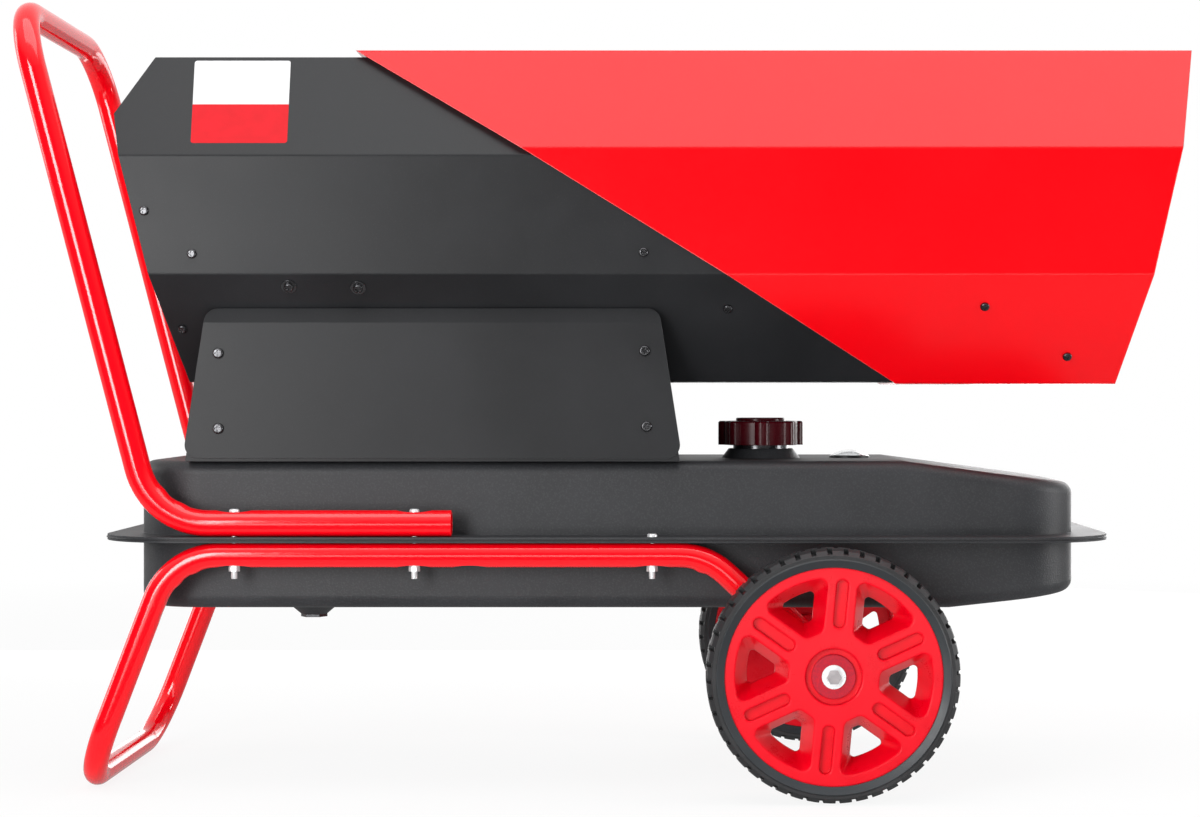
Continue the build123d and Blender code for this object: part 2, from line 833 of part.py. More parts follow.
with BuildPart() as filler_neck:
    with BuildSketch(Plane.XY.offset(tank_top_z - neck_wall)):
        with Locations((filler_x, 0)):
            Circle(neck_r)
            Circle(neck_r - neck_wall, mode=Mode.SUBTRACT)
    extrude(amount=neck_top_z - tank_top_z + neck_wall)
save(filler_neck.part, "filler_neck")

with BuildPart() as filler_strainer:
    collar_r = neck_r - neck_wall - seat_gap
    collar_z = neck_top_z - seat_gap
    floor_z = neck_top_z - strainer_depth
    with BuildSketch(Plane(origin=(filler_x, 0, 0), x_dir=(1, 0, 0), z_dir=(0, -1, 0))):
        Polygon(
            (strainer_r - strainer_wall, collar_z),
            (collar_r, collar_z),
            (collar_r, collar_z - 2 * strainer_wall),
            (strainer_r, collar_z - 2 * strainer_wall),
            (strainer_r, floor_z),
            (0, floor_z),
            (0, floor_z + strainer_wall),
            (strainer_r - strainer_wall, floor_z + strainer_wall),
            align=None,
        )
    revolve(axis=Axis((filler_x, 0, 0), (0, 0, 1)))
save(filler_strainer.part, "filler_strainer")

with BuildPart() as fuel_cap:
    with BuildSketch(Plane.XY.offset(cap_low_z)):
        with Locations((filler_x, 0)):
            Circle(cap_r)
            with PolarLocations(cap_r - cap_lobe_set, cap_lobe_count):
                Circle(cap_lobe_r)
    extrude(amount=cap_h)
    fillet(fuel_cap.faces().sort_by(Axis.Z)[-1].edges(), cap_edge_r)
    with BuildSketch(Plane.XY.offset(cap_low_z)):
        with Locations((filler_x, 0)):
            Circle(cap_bore_r)
    extrude(amount=cap_h, mode=Mode.SUBTRACT)
save(fuel_cap.part, "fuel_cap")

with BuildPart() as cap_insert:
    with BuildSketch(Plane.XY.offset(cap_roof_z)):
        with Locations((filler_x, 0)):
            Circle(cap_bore_r - bore_gap)
    extrude(amount=cap_roof_t)
    with BuildSketch(Plane.XY.offset(cap_top_z)):
        with Locations((filler_x, 0)):
            Circle(cap_disc_r)
    extrude(amount=cap_disc_h)
    fillet(cap_insert.faces().sort_by(Axis.Z)[-1].edges(), cap_disc_h / 2)
save(cap_insert.part, "cap_insert")

with BuildPart() as cap_gasket:
    with BuildSketch(Plane.XY.offset(neck_top_z + seat_gap)):
        with Locations((filler_x, 0)):
            Circle(neck_r)
            Circle(neck_r - 3 * neck_wall, mode=Mode.SUBTRACT)
    extrude(amount=cap_gasket_t)
save(cap_gasket.part, "cap_gasket")

float_pivot_z = tank_top_z - float_pivot_drop
stem_low_z = float_pivot_z + float_wire_d
needle_z = tank_top_z + gauge_flange_t / 2 + gauge_needle_lift
lug_y = gauge_stem_r - gauge_lug_t / 2

with BuildPart() as gauge_body:
    with BuildSketch(Plane.XY.offset(tank_top_z)):
        with Locations((gauge_x, 0)):
            Circle(gauge_r)
    extrude(amount=gauge_flange_t)
    with BuildSketch(Plane.XY.offset(tank_top_z + gauge_flange_t)):
        with Locations((gauge_x, 0)):
            Circle(gauge_r - gauge_rim_w)
    extrude(amount=-gauge_flange_t / 2, mode=Mode.SUBTRACT)
    with BuildSketch(Plane.XY.offset(tank_top_z)):
        with Locations((gauge_x, 0)):
            Circle(gauge_stem_r)
    extrude(amount=stem_low_z - tank_top_z)
    for side in both_sides:
        with Locations((gauge_x, side * lug_y, float_pivot_z)):
            Box(2 * float_wire_d, gauge_lug_t, 5 * float_wire_d)
    with Locations((gauge_x, 0, float_pivot_z)):
        Cylinder(
            float_wire_d / 2 + bore_gap, 4 * gauge_stem_r, rotation=(90, 0, 0), mode=Mode.SUBTRACT
        )
save(gauge_body.part, "gauge_body")

with BuildPart() as gauge_needle:
    with BuildSketch(Plane.XY.offset(needle_z)):
        with Locations((gauge_x, 0)):
            Circle(gauge_needle_hub_r)
            with Locations((gauge_r / 4, 0)):
                Rectangle(gauge_r, gauge_needle_w)
    extrude(amount=gauge_needle_t)
save(gauge_needle.part, "gauge_needle")

with BuildPart() as gauge_lens:
    lens_r = gauge_r - seat_gap
    lens_low_z = tank_top_z + gauge_flange_t
    sphere_r = (lens_r ** 2 + gauge_dome_h ** 2) / (2 * gauge_dome_h)
    inner_r = sphere_r - lens_wall
    centre_z = lens_low_z + gauge_dome_h - sphere_r
    with Locations((gauge_x, 0, centre_z)):
        Sphere(sphere_r)
        Sphere(inner_r, mode=Mode.SUBTRACT)
    split(bisect_by=Plane.XY.offset(lens_low_z), keep=Keep.TOP)
save(gauge_lens.part, "gauge_lens")

with BuildPart() as float_arm:
    float_x = gauge_x - float_arm_length
    with Locations((gauge_x, 0, float_pivot_z)):
        Cylinder(float_wire_d / 2, 2 * gauge_stem_r + gauge_lug_t / 2, rotation=(90, 0, 0))
    with Locations((gauge_x - float_arm_length / 2, 0, float_pivot_z)):
        Cylinder(float_wire_d / 2, float_arm_length, rotation=(0, 90, 0))
    with Locations((float_x, 0, float_pivot_z)):
        Cylinder(float_r, 2 * float_r, rotation=(90, 0, 0))
save(float_arm.part, "float_arm")

# ------------------------------------------------------------ derived casing sizes

mouth_top_x = overall_length / 2
burner_rear_x = chamber_rear_x - burner_length
nozzle_block_rear_x = burner_rear_x - 2 * nozzle_r - seat_gap
nozzle_port_x = nozzle_block_rear_x + nozzle_r
feed_hole_r = fuel_y + 2 * hose_r
front_top_z = casing_top_z + front_top_gap
front_bottom_z = casing_bottom_z - front_bottom_gap
casing_axis_z = (casing_bottom_z + casing_top_z) / 2
casing_span = 2 * overall_length

lower_run = (casing_half_w - casing_flat_half, casing_lower_bend_z - casing_bottom_z)
upper_run = (casing_flat_half - casing_half_w, casing_top_z - casing_upper_bend_z)
lower_length = math.hypot(*lower_run)
upper_length = math.hypot(*upper_run)
lower_normal = (lower_run[1] / lower_length, -lower_run[0] / lower_length)
upper_normal = (upper_run[1] / upper_length, -upper_run[0] / upper_length)

# Gaps of a section's faces from the rear casing's outside: bottom, lower, side, upper, top
rear_outside = (0.0, 0.0, 0.0, 0.0, 0.0)
front_outside = (
    front_bottom_gap, front_side_gap, front_side_gap, front_upper_gap, front_top_gap
)


def inward(gaps, distance):
    """The same section with every face moved in."""
    return tuple(gap - distance for gap in gaps)


def section_points(gaps):
    """Corners (Y, Z) of the eight-sided casing section with its faces moved out by gaps."""
    bottom, lower, side, upper, top = gaps
    lower_reach = (
        lower_normal[0] * casing_flat_half + lower_normal[1] * casing_bottom_z + lower
    )
    upper_reach = upper_normal[0] * casing_flat_half + upper_normal[1] * casing_top_z + upper
    bottom_z = casing_bottom_z - bottom
    side_y = casing_half_w + side
    top_z = casing_top_z + top
    bottom_y = (lower_reach - lower_normal[1] * bottom_z) / lower_normal[0]
    lower_z = (lower_reach - lower_normal[0] * side_y) / lower_normal[1]
    upper_z = (upper_reach - upper_normal[0] * side_y) / upper_normal[1]
    top_y = (upper_reach - upper_normal[1] * top_z) / upper_normal[0]
    half = [(bottom_y, bottom_z), (side_y, lower_z), (side_y, upper_z), (top_y, top_z)]
    return half + [(-y, z) for y, z in reversed(half)]


def section_sketch(outer, inner=None):
    """The section as a filled sketch, or as a ring where inner gaps are given."""
    with BuildSketch(Plane.YZ.offset(-overall_length)) as sketch:
        Polygon(*section_points(outer), align=None)
        fillet(sketch.vertices(), bend_r)
        if inner:
            Polygon(*section_points(inner), align=None, mode=Mode.SUBTRACT)
    return sketch.sketch


def cut_section(outer, inner, side_outline):
    """A casing section run along X and cut to an outline (X, Z) seen from the side."""
    with BuildPart() as run:
        extrude(section_sketch(outer, inner), amount=casing_span)
        with BuildSketch(Plane.XZ):
            Polygon(*side_outline, align=None)
        extrude(amount=overall_length, both=True, mode=Mode.INTERSECT)
    return run.part


def seam_x(z, shift=0.0):
    """X of the slanting joint between the two casings at a height."""
    share = (front_top_z - z) / (front_top_z - front_bottom_z)
    return seam_top_x + share * (seam_bottom_x - seam_top_x) + shift


def mouth_x(z, shift=0.0):
    """X of the slanting outlet edge at a height."""
    share = (front_top_z - z) / (front_top_z - front_bottom_z)
    return mouth_top_x + share * (mouth_bottom_x - mouth_top_x) + shift


def rear_edge(shift):
    """Points (X, Z) of the casing's rear edge, from below the bottom to above the top."""
    slope = (rear_peak_x - rear_bottom_x) / (rear_peak_z - casing_bottom_z)
    low_x = rear_bottom_x - slope * lip_w
    top_slope = (rear_top_x - rear_peak_x) / (casing_top_z - rear_peak_z)
    high_x = rear_top_x + top_slope * lip_w
    return [
        (low_x + shift, casing_bottom_z - lip_w),
        (rear_peak_x + shift, rear_peak_z),
        (high_x + shift, casing_top_z + lip_w),
    ]


def side_hole_planes(screws, gap, side):
    """Planes on the casing's upright side faces, facing out."""
    y = side * (casing_half_w + gap)
    return [Plane(origin=(x, y, z), x_dir=(1, 0, 0), z_dir=(0, side, 0)) for x, z in screws]


def slope_hole_planes(screws, gap, side):
    """Planes on the casing's lower sloping faces, facing out."""
    planes = []
    for x, z in screws:
        reach = (z - casing_bottom_z) / lower_run[1]
        y = casing_flat_half + reach * lower_run[0]
        out_y = y + gap * lower_normal[0]
        out_z = z + gap * lower_normal[1]
        planes.append(
            Plane(
                origin=(x, side * out_y, out_z),
                x_dir=(1, 0, 0),
                z_dir=(0, side * lower_normal[0], lower_normal[1]),
            )
        )
    return planes


def screw_holes(planes, hole_r):
    """Cut a through hole in a thin sheet at each plane."""
    with Locations(*planes):
        Cylinder(hole_r, 4 * casing_screw_length, mode=Mode.SUBTRACT)


def rounded_screws(planes, head_d, head_h, shank_d, length):
    """Round headed cross-slot screws, head out and shank in, at each plane."""
    with BuildPart() as screws:
        with Locations(*planes):
            Cylinder(head_d / 2, head_h, align=rising)
        rims = screws.faces().filter_by(
            lambda f: any((f.center() - p.offset(head_h).origin).length < 0.01 for p in planes)
        )
        fillet(rims.edges(), head_h * screw_crown_share)
        with Locations(*planes):
            Cylinder(shank_d / 2, length, align=hanging)
        slot_w = head_d / cross_slot_parts
        slot_length = head_d * cross_slot_share
        with Locations(*[plane.offset(head_h) for plane in planes]):
            Box(slot_length, slot_w, head_h, mode=Mode.SUBTRACT)
            Box(slot_w, slot_length, head_h, mode=Mode.SUBTRACT)
    return screws.part


# ---------------------------------------------------------------------- rear casing

rear_outline = [
    *rear_edge(0.0),
    (seam_x(casing_top_z + lip_w, seam_lap), casing_top_z + lip_w),
    (seam_x(casing_bottom_z - lip_w, seam_lap), casing_bottom_z - lip_w),
]
rear_skin = cut_section(rear_outside, inward(rear_outside, casing_sheet), rear_outline)
rear_lip_outline = [*rear_edge(0.0), *reversed(rear_edge(casing_sheet))]
rear_lip = cut_section(
    inward(rear_outside, casing_sheet / 2), inward(rear_outside, lip_w), rear_lip_outline
)
screw_hole_r = casing_screw_d / 2 + bolt_gap
washer_hole_r = washer_screw_d / 2 + bolt_gap

with BuildPart() as rear_casing:
    add(rear_skin)
    add(rear_lip)
    for side in both_sides:
        screw_holes(side_hole_planes(rear_flat_screws, 0.0, side), screw_hole_r)
        screw_holes(slope_hole_planes(rear_slope_screws, 0.0, side), screw_hole_r)
        screw_holes(slope_hole_planes(washer_slope_screws, 0.0, side), washer_hole_r)
    with Locations((nozzle_port_x, 0, casing_bottom_z)):
        Cylinder(feed_hole_r, 2 * feed_hole_r, mode=Mode.SUBTRACT)
    with Locations((air_drop_x, air_y, casing_bottom_z)):
        Cylinder(2 * hose_r, 2 * feed_hole_r, mode=Mode.SUBTRACT)
save(rear_casing.part, "rear_casing")

# --------------------------------------------------------------------- front casing

front_low = front_bottom_z - lip_w
front_high = front_top_z + lip_w
front_outline = [
    (seam_x(front_low), front_low),
    (seam_x(front_high), front_high),
    (mouth_x(front_high), front_high),
    (mouth_x(front_low), front_low),
]
front_skin = cut_section(front_outside, inward(front_outside, casing_sheet), front_outline)
mouth_lip_outline = [
    (mouth_x(front_low), front_low),
    (mouth_x(front_high), front_high),
    (mouth_x(front_high, -casing_sheet), front_high),
    (mouth_x(front_low, -casing_sheet), front_low),
]
mouth_lip = cut_section(
    inward(front_outside, casing_sheet / 2), inward(front_outside, lip_w), mouth_lip_outline
)
seam_hem_outline = [
    (seam_x(front_low), front_low),
    (seam_x(front_high), front_high),
    (seam_x(front_high, 2 * casing_sheet), front_high),
    (seam_x(front_low, 2 * casing_sheet), front_low),
]
seam_hem = cut_section(
    inward(front_outside, casing_sheet / 2), inward(rear_outside, -seat_gap), seam_hem_outline
)

with BuildPart() as front_casing:
    add(front_skin)
    add(mouth_lip)
    add(seam_hem)
    for side in both_sides:
        screw_holes(slope_hole_planes(front_slope_screws, front_side_gap, side), screw_hole_r)
save(front_casing.part, "front_casing")

# ------------------------------------------------------------------- casing screws

screw_planes = []
washer_planes = []
for side in both_sides:
    screw_planes += side_hole_planes(rear_flat_screws, 0.0, side)
    screw_planes += slope_hole_planes(rear_slope_screws, 0.0, side)
    screw_planes += slope_hole_planes(front_slope_screws, front_side_gap, side)
    washer_planes += slope_hole_planes(washer_slope_screws, 0.0, side)
save(
    rounded_screws(
        screw_planes, casing_screw_head_d, casing_screw_head_h, casing_screw_d, casing_screw_length
    ),
    "casing_screws",
)

washer_heads = rounded_screws(
    [plane.offset(washer_t) for plane in washer_planes],
    washer_screw_head_d,
    casing_screw_head_h,
    washer_screw_d,
    casing_screw_length,
)
with BuildPart() as washer_screws:
    with Locations(*washer_planes):
        Cylinder(washer_screw_washer_d / 2, washer_t, align=rising)
    add(washer_heads)
save(washer_screws.part, "washer_screws")

# ----------------------------------------------------------------------- pedestal


def cover_outline(margin, top_z):
    """The pedestal seen from the side (X, Z), set in by a margin at both ends."""
    rise = (top_z - cover_low_z) / (cover_top_z - cover_low_z)
    rear_top = cover_low_rear_x + rise * (cover_top_rear_x - cover_low_rear_x)
    front_top = cover_low_front_x + rise * (cover_top_front_x - cover_low_front_x)
    return [
        (cover_low_rear_x + margin, cover_low_z),
        (cover_low_front_x - margin, cover_low_z),
        (front_top - margin, top_z),
        (rear_top + margin, top_z),
    ]


def slope_y(z):
    """Outside of the rear casing's lower sloping face at a height."""
    return casing_flat_half + (z - casing_bottom_z) * lower_run[0] / lower_run[1]


def side_plane(y, side=-1):
    """An upright plane along X at y on one side, its normal pointing out."""
    return Plane(origin=(0, side * y, 0), x_dir=(-side, 0, 0), z_dir=(0, side, 0))


def casing_blank(gap):
    """The space that the rear casing fills, grown by a gap."""
    with BuildPart() as blank:
        with BuildSketch(Plane.YZ.offset(-overall_length)):
            Polygon(*section_points(inward(rear_outside, -gap)), align=None)
        extrude(amount=casing_span)
    return blank.part


base_half_w = cover_y - cover_sheet - seat_gap
casing_space = casing_blank(seat_gap)
base_hole_r = cover_screw_d / 2 + bolt_gap

with BuildPart() as pedestal_base:
    base_low = tank_top_z
    base_top_z = cover_bend_z - cover_sheet
    outer = cover_outline(cover_end_margin, base_top_z)
    inner = cover_outline(cover_end_margin + cover_sheet, base_top_z)
    with BuildSketch(Plane.XZ):
        Polygon(
            (outer[0][0], base_low), (outer[1][0], base_low), *outer[1:], outer[0], align=None
        )
    extrude(amount=base_half_w, both=True)
    with BuildSketch(Plane.XZ):
        Polygon(
            (inner[0][0], base_low + base_floor_t),
            (inner[1][0], base_low + base_floor_t),
            (inner[2][0], cover_top_z + lip_w),
            (inner[3][0], cover_top_z + lip_w),
            align=None,
        )
    extrude(amount=base_half_w - cover_sheet, both=True, mode=Mode.SUBTRACT)
    with BuildSketch(Plane.XZ):
        Polygon(
            (base_window_rear_x, base_window_low_z),
            (base_window_front_x, base_window_low_z),
            (base_window_front_x, cover_top_z + lip_w),
            (base_window_rear_x, cover_top_z + lip_w),
            align=None,
        )
    extrude(amount=cover_y, both=True, mode=Mode.SUBTRACT)
    add(casing_space, mode=Mode.SUBTRACT)
    with Locations((pickup_x, fuel_y, base_low)):
        Cylinder(hose_r + bolt_gap, 4 * base_floor_t, mode=Mode.SUBTRACT)
    for x, z in cover_screws_xz:
        with Locations(Location((x, 0, z), (90, 0, 0))):
            Cylinder(base_hole_r, 4 * cover_y, mode=Mode.SUBTRACT)
save(pedestal_base.part, "pedestal_base")


def side_cover(side):
    """A pressed side plate whose top strip leans in to the casing."""
    strip_y = slope_y(cover_top_z) + 2 * seat_gap + cover_sheet
    with BuildPart() as cover:
        with BuildSketch(Plane.YZ.offset(cover_low_rear_x)):
            Polygon(
                (side * cover_y, cover_low_z),
                (side * cover_y, cover_bend_z),
                (side * strip_y, cover_top_z),
                (side * (strip_y - cover_sheet), cover_top_z),
                (side * (cover_y - cover_sheet), cover_bend_z),
                (side * (cover_y - cover_sheet), cover_low_z),
                align=None,
            )
        extrude(amount=cover_low_front_x - cover_low_rear_x)
        bends = cover.edges().filter_by(Axis.X).filter_by_position(
            Axis.Z, cover_bend_z - 1, cover_bend_z + 1
        )
        fillet(bends, cover_sheet)
        with BuildSketch(Plane.XZ) as outline:
            Polygon(*cover_outline(0.0, cover_top_z), align=None)
            fillet(outline.vertices(), cover_corner_r)
        extrude(amount=2 * cover_y, both=True, mode=Mode.INTERSECT)
        for x, z in cover_screws_xz:
            with Locations(Location((x, side * cover_y, z), (90, 0, 0))):
                Cylinder(base_hole_r, 4 * cover_sheet, mode=Mode.SUBTRACT)
    return cover.part


save(side_cover(-1), "side_cover_right")

cover_blank = side_cover(1)
with BuildPart() as side_cover_left:
    add(cover_blank)
    with BuildSketch(Plane.XZ.offset(-cover_y - cover_sheet)):
        with Locations((panel_x, panel_z)):
            RectangleRounded(
                panel_w - 2 * panel_frame_w, panel_h - 2 * panel_frame_w, panel_frame_w
            )
    extrude(amount=3 * cover_sheet, mode=Mode.SUBTRACT)
save(side_cover_left.part, "side_cover_left")

cover_screw_planes = [
    Plane(origin=(x, side * cover_y, z), x_dir=(1, 0, 0), z_dir=(0, side, 0))
    for side in both_sides
    for x, z in cover_screws_xz
]
save(
    rounded_screws(
        cover_screw_planes, cover_screw_head_d, cover_screw_head_h, cover_screw_d,
        cover_screw_length,
    ),
    "cover_screws",
)

# ------------------------------------------------------------------ control panel

panel_face_y = cover_y - cover_sheet - seat_gap
panel_back_y = panel_face_y - panel_t


def panel_sketch_plane(y):
    """A plane on the control side with X along the heater and Z up, facing inwards."""
    return Plane.XZ.offset(-y)


with BuildPart() as control_panel:
    with BuildSketch(panel_sketch_plane(panel_face_y)):
        with Locations((panel_x, panel_z)):
            RectangleRounded(panel_w, panel_h, panel_frame_w / 2)
        with Locations((knob_x, panel_z)):
            Circle(knob_spindle_r + bore_gap, mode=Mode.SUBTRACT)
        with Locations((switch_x, panel_z)):
            Rectangle(switch_w + 2 * switch_gap, switch_h + 2 * switch_gap, mode=Mode.SUBTRACT)
        with Locations((display_x, panel_z)):
            Rectangle(display_w + seat_gap, display_h + seat_gap, mode=Mode.SUBTRACT)
        with Locations((inlet_x, panel_z)):
            Rectangle(inlet_w + seat_gap, inlet_h + seat_gap, mode=Mode.SUBTRACT)
    extrude(amount=panel_t)
    with BuildSketch(panel_sketch_plane(panel_back_y)):
        with Locations((switch_x, panel_z)):
            Rectangle(switch_w + 4 * panel_t, switch_h + 2 * (panel_t + switch_gap))
            Rectangle(switch_w + seat_gap, switch_h + 2 * switch_gap, mode=Mode.SUBTRACT)
    extrude(amount=switch_pivot_depth + 2 * panel_t)
    with Locations((switch_x, panel_face_y - switch_pivot_depth, panel_z)):
        Cylinder(
            switch_pin_r + bore_gap, 2 * switch_w, rotation=(0, 90, 0), mode=Mode.SUBTRACT
        )
save(control_panel.part, "control_panel")

with BuildPart() as thermostat_knob:
    with BuildSketch(panel_sketch_plane(panel_face_y + seat_gap + knob_h)):
        with Locations((knob_x, panel_z)):
            Circle(knob_r)
    extrude(amount=knob_h, taper=-knob_draft)
    fillet(thermostat_knob.faces().sort_by(Axis.Y)[-1].edges(), knob_edge_r)
    with BuildSketch(panel_sketch_plane(panel_face_y + seat_gap + knob_h + knob_rib_h)):
        with Locations((knob_x, panel_z + knob_r / 2)):
            Rectangle(knob_rib_w, knob_r - knob_edge_r)
    extrude(amount=2 * knob_rib_h)
    with BuildSketch(panel_sketch_plane(panel_face_y + knob_h / 2)):
        with Locations((knob_x, panel_z)):
            Circle(knob_spindle_r)
    extrude(amount=knob_h / 2 + 4 * panel_t)
save(thermostat_knob.part, "thermostat_knob")

with BuildPart() as power_switch:
    pivot_y = panel_face_y - switch_pivot_depth
    with BuildSketch(Plane.YZ.offset(switch_x - switch_w / 2)):
        Polygon(
            (pivot_y - 2 * switch_pin_r, panel_z - switch_h / 4),
            (panel_face_y - switch_low, panel_z - switch_h / 2),
            (panel_face_y + switch_high, panel_z - switch_h / 2 + switch_low),
            (panel_face_y + switch_low, panel_z),
            (panel_face_y + switch_low, panel_z + switch_h / 2),
            (pivot_y - 2 * switch_pin_r, panel_z + switch_h / 4),
            align=None,
        )
    extrude(amount=switch_w)
    with Locations((switch_x, pivot_y, panel_z)):
        Cylinder(switch_pin_r, switch_w + 2 * panel_t, rotation=(0, 90, 0))
save(power_switch.part, "power_switch")

with BuildPart() as display_window:
    with BuildSketch(panel_sketch_plane(panel_face_y + display_stand)):
        with Locations((display_x, panel_z)):
            Rectangle(display_w, display_h)
    extrude(amount=display_stand + display_depth)
save(display_window.part, "display_window")

with BuildPart() as power_inlet:
    with BuildSketch(panel_sketch_plane(panel_face_y + inlet_stand)):
        with Locations((inlet_x, panel_z)):
            RectangleRounded(inlet_w + 2 * inlet_wall, inlet_h + 2 * inlet_wall, inlet_wall)
    extrude(amount=inlet_stand - bore_gap)
    with BuildSketch(panel_sketch_plane(panel_face_y + inlet_stand / 2)):
        with Locations((inlet_x, panel_z)):
            Rectangle(inlet_w, inlet_h)
    extrude(amount=inlet_stand / 2 + inlet_body_depth)
    with BuildSketch(panel_sketch_plane(panel_face_y + inlet_stand)):
        with Locations((inlet_x, panel_z)):
            RectangleRounded(inlet_w - 2 * inlet_wall, inlet_h - 2 * inlet_wall, inlet_wall)
    extrude(amount=inlet_depth, mode=Mode.SUBTRACT)
    with BuildSketch(panel_sketch_plane(panel_face_y + inlet_stand - pin_set)):
        with Locations(*[(inlet_x + x, panel_z + z) for x, z in pin_places]):
            Rectangle(pin_w, pin_h)
    extrude(amount=inlet_depth + inlet_wall / 2 - pin_set)
save(power_inlet.part, "power_inlet")

pedestal_floor_z = base_low + base_floor_t
with BuildPart() as control_board:
    board_low_z = pedestal_floor_z + board_lift
    parts_z = board_low_z + board_parts_rise
    outward = (Align.CENTER, Align.MIN, Align.CENTER)
    with Locations((panel_x, board_y, board_low_z)):
        Box(board_w, board_t, board_h, align=rising)
    with Locations(*[(panel_x + side * board_w / 3, board_y, pedestal_floor_z) for side in both_sides]):
        Box(board_lift, 2 * board_lift, board_post_h, align=rising)
    with Locations((panel_x - board_w / 5, board_y + board_t / 2, parts_z)):
        Box(*relay_size, align=outward)
    with Locations((panel_x + board_w / 5, board_y + board_t / 2, parts_z)):
        Box(*capacitor_size, align=outward)
save(control_board.part, "control_board")

with BuildPart() as ignition_transformer:
    length, width, height = transformer_size
    with Locations((base_window_rear_x + length, -cover_y / 3, pedestal_floor_z)):
        Box(length, width, transformer_foot_t, align=rising)
        Box(length - 2 * transformer_foot, width, height, align=rising)
    body_edges = ignition_transformer.edges().filter_by(Axis.Z).filter_by(
        lambda e: e.length > height / 2
    )
    fillet(body_edges, transformer_edge_r)
save(ignition_transformer.part, "ignition_transformer")

# --------------------------------------------------------------- air duct and burner


def duct_plane(x):
    """A plane square to the heater's air axis at x, facing the outlet."""
    return Plane(origin=(x, 0, casing_axis_z), x_dir=(0, 1, 0), z_dir=(1, 0, 0))


def tube_x(x, outer_r, inner_r, length):
    """A ring or disc about the air axis, added to the part that is being built."""
    with Locations(Location(duct_plane(x))):
        Cylinder(outer_r, length, align=rising)
        if inner_r > 0:
            Cylinder(inner_r, length, align=rising, mode=Mode.SUBTRACT)


rear_inside = inward(rear_outside, casing_sheet + seat_gap)
with BuildPart() as bulkhead:
    with BuildSketch(Plane.YZ.offset(bulkhead_x)):
        Polygon(*section_points(rear_inside), align=None)
        with Locations((0, casing_axis_z)):
            Circle(shroud_r, mode=Mode.SUBTRACT)
    extrude(amount=casing_sheet)
    with BuildSketch(duct_plane(bulkhead_x)):
        Circle(shroud_r + casing_sheet)
        Circle(shroud_r, mode=Mode.SUBTRACT)
    extrude(amount=-shroud_w)
save(bulkhead.part, "bulkhead")

shield_rear_x = bulkhead_x + casing_sheet
shield_end_x = mouth_x(casing_axis_z - shield_r) - lip_w
side_reach = casing_half_w + front_side_gap - casing_sheet - seat_gap
floor_reach = casing_axis_z - front_bottom_z - casing_sheet - seat_gap
with BuildPart() as heat_shield:
    with BuildSketch(duct_plane(shield_rear_x)):
        Circle(shield_r)
        Circle(shield_r - shield_wall, mode=Mode.SUBTRACT)
    extrude(amount=min(shield_front_x, shield_end_x) - shield_rear_x)
    for turn, reach in ((0, side_reach), (180, side_reach), (-90, floor_reach)):
        with BuildSketch(duct_plane(shield_tab_x)):
            with PolarLocations(shield_r - shield_wall, 1, start_angle=turn):
                Rectangle(
                    reach - shield_r + shield_wall, tab_w, align=(Align.MIN, Align.CENTER)
                )
        extrude(amount=tab_t)
    with Locations((nozzle_port_x, 0, casing_axis_z - shield_r)):
        Cylinder(feed_hole_r, shield_r, mode=Mode.SUBTRACT)
save(heat_shield.part, "heat_shield")

tab_end_r = math.sqrt((shield_r - shield_wall - seat_gap) ** 2 - (tab_w / 2) ** 2)
tab_reach = tab_end_r - chamber_r + chamber_wall
with BuildPart() as combustion_chamber:
    with BuildSketch(duct_plane(chamber_rear_x)):
        Circle(chamber_r)
    extrude(amount=chamber_front_x - chamber_rear_x)
    with BuildSketch(duct_plane(chamber_rear_x + chamber_wall)):
        Circle(chamber_r - chamber_wall)
    extrude(amount=chamber_front_x - chamber_rear_x, mode=Mode.SUBTRACT)
    with BuildSketch(duct_plane(chamber_rear_x)):
        Circle(burner_r - burner_flange_w / 2)
    extrude(amount=chamber_wall, mode=Mode.SUBTRACT)
    for x in (chamber_tab_rear_x, shield_tab_x + tab_w):
        with BuildSketch(duct_plane(x)):
            with PolarLocations(chamber_r - chamber_wall, chamber_tab_count, start_angle=90):
                Rectangle(tab_reach, tab_w, align=(Align.MIN, Align.CENTER))
        extrude(amount=tab_t)
save(combustion_chamber.part, "combustion_chamber")

with BuildPart() as flame_diffuser:
    inner_r = chamber_r - chamber_wall - seat_gap
    with BuildSketch(duct_plane(diffuser_x)):
        Circle(diffuser_r)
    extrude(amount=casing_sheet)
    with BuildSketch(duct_plane(diffuser_x)):
        with PolarLocations(0, chamber_tab_count, start_angle=diffuser_leg_turn):
            Rectangle(2 * inner_r, diffuser_leg_w, align=(Align.MIN, Align.CENTER))
        Circle(inner_r, mode=Mode.INTERSECT)
    extrude(amount=casing_sheet)
    with BuildSketch(duct_plane(diffuser_x)):
        with PolarLocations(diffuser_r / 2, diffuser_hole_count):
            Circle(diffuser_leg_w / 2)
    extrude(amount=casing_sheet, mode=Mode.SUBTRACT)
save(flame_diffuser.part, "flame_diffuser")

